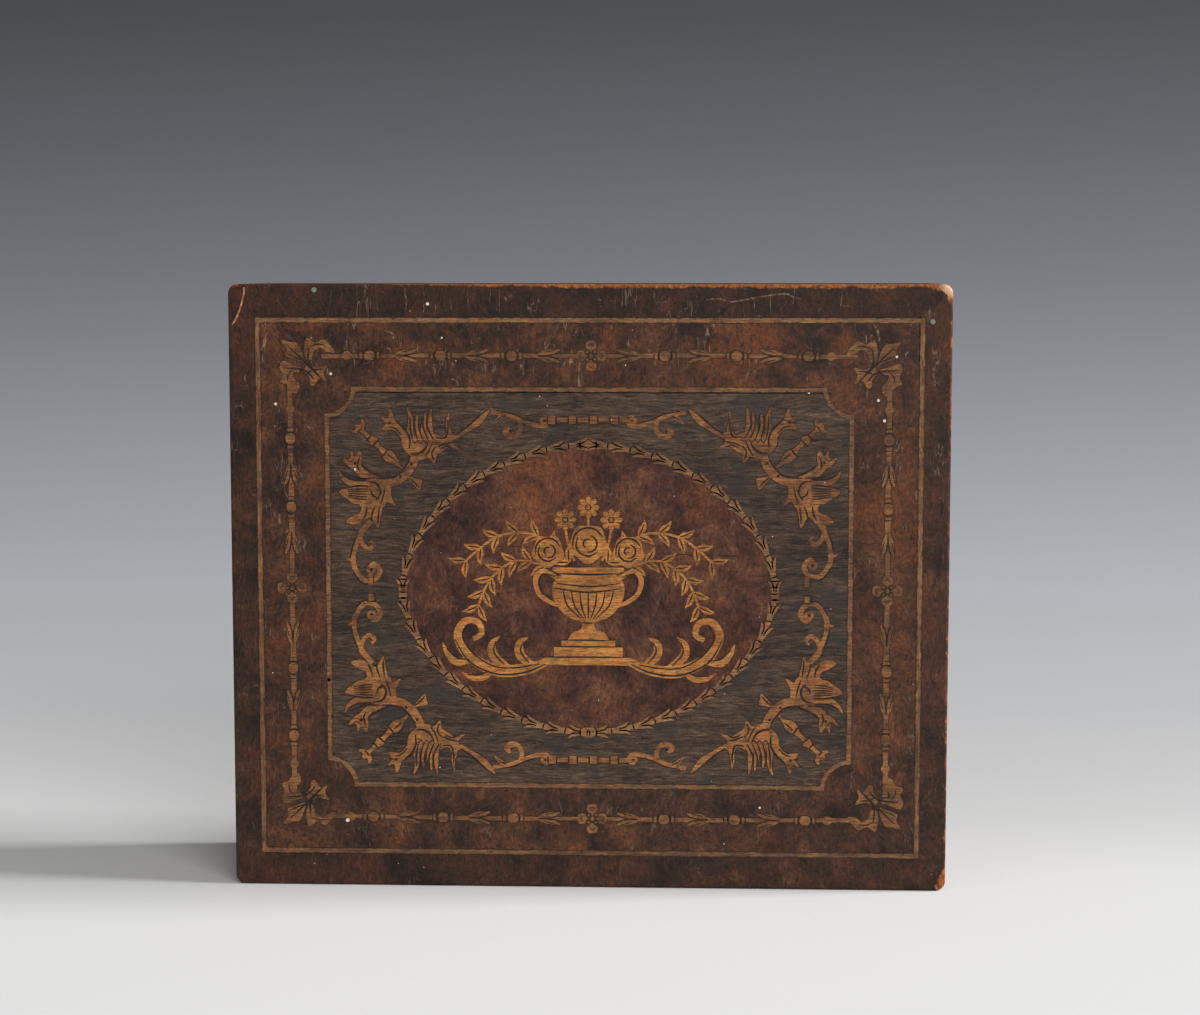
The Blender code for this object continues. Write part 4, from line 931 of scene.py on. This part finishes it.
UNDER_TAN = {"material": inlay_tan, "depths": UNDER_DEPTHS}
lay_quarters("beasts", beasts, BEAST_SHIFTS, material=inlay_tan)
lay_quarters("beast_glue", grown(beasts, GLUE), BEAST_SHIFTS, **DARK_GLUE)
lay_quarters("upright_scrolls", upright_scroll, UPRIGHT_SHIFTS, **UNDER_TAN)
lay_quarters("level_scrolls", level_scroll, LEVEL_SHIFTS, **UNDER_TAN)
beast_pen = [
    # First beast: collar, the edges of its wings and neck, tail
    *pen([(43.6, 20.2), (42.6, 21.8), (43.4, 23.7), (45.4, 24.2)], 0.34),
    *pen([(45.2, 23.2), (47.6, 23.2), (50.6, 22.6)], 0.3),
    *pen([(44.0, 24.8), (47.2, 24.9), (50.2, 26.0)], 0.3),
    *pen([(42.6, 19.4), (42.0, 21.2), (41.6, 23.0)], 0.26),
    *pen([(46.4, 16.0), (45.7, 17.4), (45.5, 18.9)], 0.3),
    *pen([(44.6, 15.9), (44.4, 17.4), (43.8, 18.9)], 0.28),
    *pen([(42.2, 25.0), (44.6, 26.1), (46.6, 27.8)], 0.28),
    *pen([(49.9, 29.0), (48.8, 28.3), (48.0, 29.2)], 0.2),
    *pen([(42.9, 20.6), (44.2, 21.2), (44.6, 22.4)], 0.3),
    *pen([(45.6, 24.3), (48.6, 24.5), (50.8, 25.6)], 0.26),
    *pen([(47.0, 26.4), (47.4, 27.6), (46.9, 29.2)], 0.28),
    *pen([(43.2, 15.2), (43.1, 17.0), (42.9, 18.8)], 0.3),
    # The stem and its bud
    *pen([(43.4, 24.8), (41.2, 24.9), (38.8, 25.6), (36.4, 28.6)], 0.3),
    *pen([(36.6, 24.9), (35.4, 23.9), (34.4, 22.8)], 0.28),
    # Second beast: collar, neck, tail and the leaf behind it
    *pen([(36.2, 29.9), (34.8, 30.0), (33.4, 30.8), (32.6, 32.2)], 0.36),
    *pen([(36.5, 31.0), (36.4, 33.0), (37.2, 34.8), (39.2, 36.7)], 0.32),
    *pen([(30.6, 31.4), (29.2, 32.0), (27.2, 32.4)], 0.3),
    *pen([(30.8, 33.4), (29.0, 33.4), (28.4, 35.4), (28.4, 37.2)], 0.28),
    *pen([(26.8, 33.9), (24.2, 35.8), (21.0, 38.6)], 0.28),
    *pen([(41.0, 36.4), (41.6, 36.2), (42.3, 36.3)], 0.2),
    *pen([(31.4, 28.6), (31.8, 30.2), (30.8, 31.6)], 0.3),
    *pen([(33.2, 29.4), (32.4, 30.6), (31.6, 32.6)], 0.28),
    *pen([(27.6, 31.2), (28.8, 31.6), (30.2, 31.0)], 0.28),
    *pen([(38.2, 33.9), (39.4, 35.2), (40.8, 35.6)], 0.26),
    # Rings and fringe of the torch
    *pen([(46.3, 35.6), (46.8, 34.9), (47.4, 34.5)], 0.26),
    *pen([(44.4, 33.9), (45.0, 33.2), (45.6, 32.6)], 0.28),
    *pen([(43.0, 32.8), (43.8, 32.0), (44.6, 31.4)], 0.3),
    *pen([(40.9, 31.0), (41.7, 29.9), (42.6, 29.0)], 0.3),
    *pen([(41.0, 29.9), (40.2, 29.2), (39.2, 28.4)], 0.26),
]
for k in range(5):
    beast_pen += pen([(45.4, 20.4 + 0.55 * k), (47.2, 20.5 + 0.52 * k), (49.4, 21.0 + 0.36 * k)], 0.25)
    beast_pen += pen([(31.5 + 1.1 * k, 33.0), (32.7 + 0.9 * k, 35.6), (32.5 + 0.95 * k, 37.8)], 0.3)
for k in range(3):
    beast_pen += pen([(35.9 - 1.2 * k, 32.9), (35.3 - 1.2 * k, 32.2), (34.7 - 1.2 * k, 32.9)], 0.22)
for u, v in ((47.9, 28.0), (40.6, 36.4), (38.4, 25.2), (36.1, 27.8)):
    beast_pen += disc(u, v, 0.32, count=8)
lay_quarters("beast_ink", beast_pen, BEAST_SHIFTS, **INK)
upright_pen = [
    *pen([(49.9, 7.8), (49.3, 10.6), (48.2, 13.2)], 0.26),
    *disc(45.5, 5.5, 0.35, count=8),
    *pen([(49.4, 5.4), (47.4, 2.7), (44.6, 2.9)], 0.26),
    *disc(45.6, 11.0, 0.25, count=8),
]
level_pen = [
    *pen([(19.0, 38.2), (15.8, 37.6), (12.4, 36.2), (10.4, 35.8)], 0.28),
    *disc(9.1, 36.2, 0.3, count=8),
    *disc(16.2, 34.0, 0.3, count=8),
    *pen([(17.2, 37.3), (18.4, 36.7), (19.4, 35.9)], 0.22),
]
lay_quarters("upright_scroll_ink", upright_pen, UPRIGHT_SHIFTS, **UNDER_INK)
lay_quarters("level_scroll_ink", level_pen, LEVEL_SHIFTS, **UNDER_INK)


# The beaded bars between the scrolls: thin boxwood strips with square beads, let into the ground in line
# with the scrolls and parted by pen lines.
BAR_LEVELS = (35.4, -36.2)
BAR_U = 45.6
LEVEL_BEADS = 8
UPRIGHT_BEADS = 2
bar_bead = [[(-0.75, -0.85), (0.75, -0.85), (0.75, 0.85), (-0.75, 0.85)]]
bar_link = [[(-1.1, -0.5), (1.1, -0.5), (1.1, 0.5), (-1.1, 0.5)]]
bar_bead_pen = pen([(0.85, -0.85), (0.9, 0.0), (0.85, 0.85)], 0.26)
bar_bead_pen += flip(bar_bead_pen, 0) + pen([(-0.8, -0.9), (0.0, -0.95), (0.8, -0.9)])
bar_link_pen = pen([(-1.0, -0.52), (0.0, -0.56), (1.0, -0.52)], 0.2)
level_bars = [[(-7.6, v), (7.6, v)] for v in BAR_LEVELS]
upright_bars = [[(k * BAR_U, -1.9), (k * BAR_U, 1.9)] for k in (1, -1)]
lay_along("level_bead_bars", level_bars, LEVEL_BEADS, (bar_bead, bar_link), inlay_tan)
lay_along("level_bead_bar_ink", level_bars, LEVEL_BEADS, (bar_bead_pen, bar_link_pen), **INK)
lay_along("upright_bead_bars", upright_bars, UPRIGHT_BEADS, (bar_link, bar_link), inlay_tan)
lay_along("upright_bead_bar_ink", upright_bars, UPRIGHT_BEADS, (bar_bead_pen, bar_link_pen), **INK)


# The wreath round the oval: pairs of small boxwood leaves on both sides of its stem, growing from
# a bead at the bottom up each side to a bead at the top, with ties at both ends of the oval.
wreath_low, wreath_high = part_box("oval_wreath")
WREATH_U = wreath_high.x / MM - 0.6
WREATH_V = (wreath_high.z - wreath_low.z) / 2 / MM - 0.6
WREATH_PAIRS = 23
KNOT_DEPTHS = (0.01, 0.07)
OVAL_POWER = 1.84


def half_wreath(side, first=-86, last=86, steps=60):
    """The stem of one side, from near the bottom to near the top."""
    path = []
    for i in range(steps + 1):
        turn = math.radians(first + (last - first) * i / steps)
        across, up = [math.copysign(abs(w) ** (2 / OVAL_POWER), w) for w in (math.cos(turn), math.sin(turn))]
        path.append((side * WREATH_U * across, WREATH_V * up))
    return path


def leaf_pair(grow=0.0):
    leaf = stroke([(-2.0, 0.15), (-0.6, 0.35), (0.8, 0.68), (2.0, 1.4)], [0.4, 0.75, 0.7, 0.1], grow)
    return leaf + flip(leaf, 1)


pair_pen = pen([(-0.4, 0.2), (0.9, 0.34), (2.2, 0.9)], 0.24)
pair_pen += flip(pair_pen, 1) + pen([(-2.0, -0.7), (-1.9, 0.0), (-2.0, 0.7)])
sides = [half_wreath(1), half_wreath(-1)]
lay_along("wreath_leaves", sides, WREATH_PAIRS, (leaf_pair(),), wreath_tan)
lay_along("wreath_glue", sides, WREATH_PAIRS, (leaf_pair(GLUE),), **DARK_GLUE)
lay_along("wreath_ink", sides, WREATH_PAIRS, (pair_pen,), **INK)
knot = blob([(-1.5, 0.0), (-1.0, 0.95), (1.0, 0.95), (1.5, 0.0), (1.0, -0.95), (-1.0, -0.95)])
knots = [[(u, v + k * WREATH_V) for u, v in tile] for k in (1, -1) for tile in knot]
for k in (1, -1):
    knots += stroke([(k * WREATH_U, -2.4), (k * WREATH_U, 0.0), (k * WREATH_U, 2.4)], [1.5, 1.8, 1.5])
lay_flat("wreath_knots", knots, inlay_tan, KNOT_DEPTHS)
knot_pen = []
for k in (1, -1):
    for v in (-2.0, -0.7, 0.7, 2.0):
        knot_pen += pen([(k * WREATH_U - 0.95, v), (k * WREATH_U, v - 0.1), (k * WREATH_U + 0.95, v)], 0.24)
    level = k * WREATH_V
    for i in (1, -1):
        knot_pen += pen([(i * 1.6, level - 0.9), (i * 1.75, level), (i * 1.6, level + 0.9)], 0.3)
lay_flat("wreath_knot_ink", knot_pen, **INK)


# The picture in the oval: an urn of flowers on a stepped plinth between two leaf scrolls, sawn from
# lighter boxwood, with its folds and veins in pen.
URN_STOPS = [(0.36, "#704926"), (0.5, "#a8723a"), (0.64, "#cf914e")]
urn_tan = inlay_wood("clear_boxwood_inlay", URN_STOPS, soot=0.55)
DAISIES = [(-4.8, 14.6), (4.8, 14.6), (0.0, 17.2)]


def both_sides(tiles):
    return tiles + flip(tiles, 0)


def turned(points):
    """One tile with the same outline on both sides of the middle line."""
    line = smooth_line(points)
    return [[*line, *[(-u, v) for u, v in reversed(line)]]]


def level_block(half_width, low, high):
    return [[(-half_width, low), (half_width, low), (half_width, high), (-half_width, high)]]


urn = [
    *turned([(1.3, -6.9), (4.6, -5.6), (6.9, -2.8), (7.6, 0.0), (7.0, 1.9), (5.6, 3.2)]),
    *turned([(6.0, 3.4), (7.4, 3.9), (7.4, 4.6)]),
    *turned([(4.3, -10.6), (3.4, -9.2), (1.6, -8.4), (1.2, -7.1)]),
    *level_block(5.6, -12.0, -10.8),
    *level_block(7.2, -14.2, -12.2),
    *level_block(9.0, -16.0, -14.4),
    *both_sides(stroke([(6.6, 2.4), (9.4, 3.9), (11.0, 2.2), (10.4, -0.8), (8.2, -2.6), (6.2, -3.4)],
                       [0.9, 1.0, 1.1, 1.0, 0.9, 0.8])),
    # Leaf scrolls from the plinth
    *both_sides(
        stroke([(8.6, -15.2), (13.0, -16.9), (19.0, -17.2), (24.6, -14.6), (27.4, -10.2), (26.0, -6.9),
                (23.2, -7.0), (22.4, -9.4), (24.2, -10.6)],
               [1.6, 2.4, 2.6, 2.2, 1.8, 1.5, 1.3, 1.2, 1.0])
        + stroke([(11.5, -16.2), (14.2, -14.0), (14.4, -11.4), (12.6, -10.2)], [1.2, 2.0, 1.5, 0.2])
        + stroke([(16.5, -16.8), (19.8, -14.2), (20.2, -11.6), (18.6, -10.0)], [1.2, 2.0, 1.4, 0.2])
        + stroke([(24.0, -14.8), (27.6, -15.4), (29.6, -13.6), (30.6, -11.4)], [1.2, 1.7, 1.2, 0.2])
        + stroke([(20.0, -17.0), (22.0, -18.6), (24.6, -18.8), (26.6, -17.6)], [1.2, 1.5, 1.1, 0.2])
    ),
]
ROSES = [(0.0, 9.6, 4.3), (-8.4, 8.0, 3.5), (8.4, 8.0, 3.5)]
for u, v, radius in ROSES:
    lobes = [radius * (1.0 if k % 2 else 0.86) for k in range(10)]
    urn += blob([(u + r * math.cos(math.pi * k / 5 + 0.3), v + r * math.sin(math.pi * k / 5 + 0.3))
                 for k, r in enumerate(lobes)])
for u, v in DAISIES:
    urn += stroke([(u * 0.6, 6.0), (u * 0.9, 10.0), (u, v - 1.2)], [0.5, 0.5, 0.5])
lay_flat("flower_urn", urn, urn_tan)

DAISY_DEPTHS = (0.01, 0.07)
DAISY_PETALS = 8
daisy_petal = blob([(-0.26, 0.5), (0.26, 0.5), (0.48, 0.0), (0.52, -0.5), (0.0, -1.0), (-0.52, -0.5),
                    (-0.48, 0.0)])
daisy_rings = [circle(u, v, 1.35) for u, v in DAISIES]
lay_along("daisy_petals", daisy_rings, DAISY_PETALS, (daisy_petal,), urn_tan, DAISY_DEPTHS, closed=True)
hearts = [tile for u, v in DAISIES for tile in disc(u, v, 1.0)]
lay_flat("daisy_hearts", hearts, urn_tan, UNDER_DEPTHS)
daisy_eyes = [tile for u, v in DAISIES for tile in pen([*circle(u, v, 0.55, 10), (u, v + 0.55)], 0.2)]
lay_flat("daisy_eyes", daisy_eyes, **INK)

STEM_DEPTHS = (0.03, 0.075)
SPRAY_PAIRS = 7
sprays = [
    [(4.4, 6.0), (11.0, 11.4), (19.0, 11.0), (26.0, 5.6)],
    [(9.4, 5.0), (15.0, 6.0), (20.4, 2.2), (23.2, -4.0)],
]
stems = both_sides([tile for path in sprays for tile in stroke(path, [0.5] * len(path))])
lay_flat("spray_stems", stems, urn_tan, STEM_DEPTHS)
sprays = [smooth_line(path) for path in sprays]
sprays += [[(-u, v) for u, v in path] for path in sprays]
spray_leaf = stroke([(-0.5, 0.1), (0.4, 0.9), (1.2, 1.5), (1.9, 2.8)], [0.4, 1.3, 1.2, 0.1])
spray_leaf += flip(spray_leaf, 1)
spray_pen = pen([(-0.3, 0.2), (0.6, 1.0), (1.5, 2.0)], 0.24)
spray_pen += flip(spray_pen, 1)
lay_along("spray_leaves", sprays, SPRAY_PAIRS, (spray_leaf,), urn_tan, UNDER_DEPTHS)
lay_along("spray_ink", sprays, SPRAY_PAIRS, (spray_pen,), **UNDER_INK)

urn_pen = [
    *pen([(-6.9, 0.2), (0.0, -0.6), (6.9, 0.2)], 0.3),
    *pen([(-6.7, 1.3), (0.0, 0.6), (6.7, 1.3)], 0.26),
    *pen([(-5.8, 3.3), (0.0, 3.1), (5.8, 3.3)], 0.3),
    *pen([(-1.2, -7.0), (0.0, -7.1), (1.2, -7.0)], 0.3),
    *both_sides(pen([(7.0, 2.6), (9.2, 3.2), (10.3, 1.8), (9.6, -0.6), (7.6, -2.4)])),
    *both_sides(pen([(9.0, -15.8), (13.4, -17.6), (19.2, -18.0), (25.0, -15.4), (28.0, -10.6)], 0.28)),
    *both_sides(pen([(10.4, -15.8), (15.0, -16.6), (19.6, -16.4), (24.0, -13.8), (26.4, -10.2),
                     (25.2, -7.8)])),
    *both_sides(pen([(12.4, -15.6), (14.2, -13.2), (13.6, -11.0)], 0.26)),
    *both_sides(pen([(17.6, -16.0), (19.8, -13.4), (19.4, -11.0)], 0.26)),
    *both_sides(pen([(25.0, -14.9), (27.6, -14.6), (29.8, -12.6)], 0.26)),
    *both_sides(pen([(21.0, -17.4), (22.8, -18.2), (25.4, -18.2)], 0.26)),
    *both_sides(disc(24.1, -9.2, 0.35, count=8)),
]
for half_width, v in ((5.5, -10.7), (7.1, -12.1), (8.9, -14.3)):
    urn_pen += pen([(-half_width, v), (0.0, v), (half_width, v)], 0.26)
for k in range(-3, 4):
    urn_pen += pen([(1.75 * k, -0.7 + 0.05 * k * k), (1.45 * k, -3.4), (0.5 * k, -6.2)], 0.26)
for u, v, radius in ROSES:
    for share, start in ((0.78, 0.4), (0.6, 2.6), (0.42, 4.6), (0.24, 1.2)):
        fold = share * radius
        arc = [start + 0.75 * k for k in range(5)]
        urn_pen += pen([(u + fold * math.cos(a), v + fold * math.sin(a)) for a in arc], 0.28)
lay_flat("flower_urn_ink", urn_pen, **INK)


# Marks of use on the face: open joints full of dirt beside the stringing, cracks in the ground and the
# oval, scratches through the polish, a split in one corner with its patch, specks of plaster and
# verdigris, and a nail hole.
random.seed(11)
MARK_DEPTHS = (0.03, 0.085)
PATCH_DEPTHS = (0.045, 0.085)
SPECK_DEPTHS = (0.0, 0.085)
SCRATCH_LIMIT = 62.8
FINE_SCRATCHES = 12
FINE_SPECKS = 40


def ragged(start, end, low, high, step=1.6, stray=0.05):
    """Tiles of a joint or crack between two points, of uneven width and a little off the line."""
    start, end = Vector(start), Vector(end)
    along = (end - start).normalized()
    side = Vector((-along.y, along.x))
    count = max(round((end - start).length / step), 2)
    marks = []
    for i in range(count + 1):
        point = start.lerp(end, i / count) + side * random.uniform(-stray, stray)
        half = side * random.uniform(low, high) / 2
        marks.append((tuple(point + half), tuple(point - half)))
    return [[left, right, ahead_right, ahead_left]
            for (left, right), (ahead_left, ahead_right) in zip(marks, marks[1:])]


# Both edges of the outer line and of the inner line: half their lengths along X and Z, then their places
LINE_EDGES = [
    (69.0, 56.0, 69.37, 56.57), (68.0, 55.0, 68.31, 55.51),
    (49.2, 36.4, 55.05, 42.25), (48.6, 35.6, 53.99, 41.19),
]
joints = []
for run_u, run_v, u, v in LINE_EDGES:
    for k in (1, -1):
        joints += ragged((-run_u, k * v), (run_u, k * v), 0.06, 0.3)
        joints += ragged((k * u, -run_v), (k * u, run_v), 0.06, 0.3)
lay_flat("joint_dirt", joints, hide_glue, MARK_DEPTHS, "rosewood")

cracks = [
    *ragged((-49.0, 41.1), (50.0, 41.1), 0.18, 0.42),
    *ragged((68.25, 47.6), (68.25, 57.0), 0.2, 0.36),
    *ragged((-69.0, 57.0), (-62.4, 57.0), 0.1, 0.3),
    *ragged((56.3, -62.6), (56.0, -57.0), 0.06, 0.14),
]
HAIR_CRACKS = [
    ((44.0, 31.0), (55.0, 32.0)), ((35.0, 3.0), (54.0, 4.0)), ((-44.0, -19.0), (-31.0, -18.0)),
    ((33.0, -14.0), (54.0, -13.5)), ((47.0, 21.5), (54.0, 21.5)), ((-54.0, 12.4), (-43.0, 12.0)),
    ((-26.0, -10.4), (-12.0, -10.0)), ((14.0, -9.8), (27.0, -10.2)), ((-24.0, 9.2), (-12.0, 8.8)),
    ((13.0, 7.6), (31.0, 7.2)), ((-18.0, -14.4), (3.0, -14.0)), ((-9.0, 1.6), (8.0, 1.9)),
]
for start, end in HAIR_CRACKS:
    cracks += ragged(start, end, 0.04, 0.26, step=1.2, stray=0.12)
lay_flat("cracks", cracks, pen_ink, MARK_DEPTHS, "rosewood")

# Scratched polish: pale and dull, where the shellac has turned to dust
DUST_STOPS = [(0.36, "#3c2c23"), (0.5, "#584639"), (0.64, "#7a6657")]
DRY_LOOKS = {"Roughness": 0.75, "Specular IOR Level": 0.2}
scuffed = mottled("scratched_shellac", 0.7, 3.0, DUST_STOPS, **DRY_LOOKS)
scratches = [
    *pen([(24.4, 60.3), (26.9, 60.5), (29.4, 59.9), (31.9, 60.2), (34.4, 60.7), (37.5, 61.2), (40.6, 61.5),
          (42.5, 60.8), (43.8, 60.4)], 0.24),
    *pen([(-37.9, 62.8), (-38.0, 61.6), (-37.7, 60.1), (-37.9, 57.9)], 0.2),
    *pen([(-34.2, 59.4), (-34.0, 58.6), (-34.2, 57.6)], 0.18),
    *pen([(58.6, 55.4), (59.4, 54.3), (59.8, 53.0), (60.0, 51.6)], 0.42),
    *pen([(70.4, 58.8), (70.2, 58.0), (70.3, 57.2)], 0.3),
    *pen([(-42.2, 53.8), (-40.9, 53.4), (-40.5, 52.4), (-41.2, 51.4)], 0.22),
    *pen([(-28.6, 44.0), (-27.4, 43.4), (-27.0, 42.4)], 0.2),
]
for _ in range(FINE_SCRATCHES):
    u, v = random.uniform(-64.0, 66.0), random.uniform(57.6, 61.6)
    lean = random.uniform(-0.5, 0.5)
    length = random.uniform(0.8, 2.0)
    width = random.uniform(0.08, 0.16)
    scratches += pen([(u, v + length), (u + lean * 0.3, v), (u + lean, v - length)], width)
scratches = [tile for tile in scratches if max(abs(corner[1]) for corner in tile) < SCRATCH_LIMIT]
lay_flat("scratches", scratches, scuffed, MARK_DEPTHS, "dark_burr")

# The split corner: bare wood shows in the split, and its patch was polished darker and redder
SPLIT_STOPS = [(0.36, "#7a4527"), (0.5, "#a56c45"), (0.64, "#c99a76")]
SPLIT_LOOKS = {"Roughness": 0.7, "Specular IOR Level": 0.2}
bare_wood = mottled("bare_split_wood", 0.9, 3.0, SPLIT_STOPS, **SPLIT_LOOKS)
split = [(-71.6, 62.8), (-71.5, 61.9), (-71.9, 60.1), (-72.7, 57.6), (-73.6, 55.8), (-74.1, 55.1)]
split_tiles = stroke(split, [0.26, 0.3, 0.3, 0.34, 0.3, 0.12])
lay_flat("corner_split", split_tiles, bare_wood, MARK_DEPTHS)
POLISH_STOPS = [(0.36, "#1a0a05"), (0.5, "#2d150b"), (0.64, "#482312")]
POLISH_LOOKS = {"Roughness": 0.5, "Specular IOR Level": 0.25}
red_polish = mottled("dark_red_polish", 2.0, 4.0, POLISH_STOPS, **POLISH_LOOKS)
patch = [[*split[:-1], (-74.35, 55.6), (-74.35, 58.0), (-74.35, 61.4), (-73.9, 62.4), (-73.0, 62.85)]]
lay_flat("corner_patch", patch, red_polish, PATCH_DEPTHS, "dark_burr")

# Specks: dull drops of white plaster and of green verdigris, and a dark nail hole
speck_white, tree, place = blank("plaster_speck")
surface(tree, {"Base Color": linear("#cfc8bb"), "Roughness": 0.8})
WHITE_SPECKS = [
    (-33.3, 59.4, 0.34), (-65.2, 38.6, 0.3), (-53.6, 44.9, 0.28), (45.6, 41.2, 0.26), (36.0, -46.0, 0.24),
    (-48.7, 25.0, 0.24), (-51.0, -49.5, 0.4), (-30.4, 52.4, 0.2), (59.9, 39.6, 0.3), (61.2, 35.4, 0.32),
    (63.6, 48.6, 0.26),
]
white = [tile for u, v, radius in WHITE_SPECKS for tile in disc(u, v, radius, count=9)]
for _ in range(FINE_SPECKS):
    u, v = random.uniform(-73.0, 73.0), random.uniform(-61.5, 61.5)
    white += disc(u, v, random.uniform(0.06, 0.13), count=6)
lay_flat("white_specks", white, speck_white, SPECK_DEPTHS)
speck_green, tree, place = blank("verdigris_speck")
surface(tree, {"Base Color": linear("#6f7565"), "Roughness": 0.8})
GREEN_SPECKS = [(-56.9, 62.3, 0.55), (-54.7, -19.5, 0.4), (70.9, 55.8, 0.55)]
green = [tile for u, v, radius in GREEN_SPECKS for tile in disc(u, v, radius, count=9)]
lay_flat("green_specks", green, speck_green, SPECK_DEPTHS)
lay_flat("nail_hole", disc(28.1, 58.2, 0.45, count=10), pen_ink, MARK_DEPTHS, "rosewood")
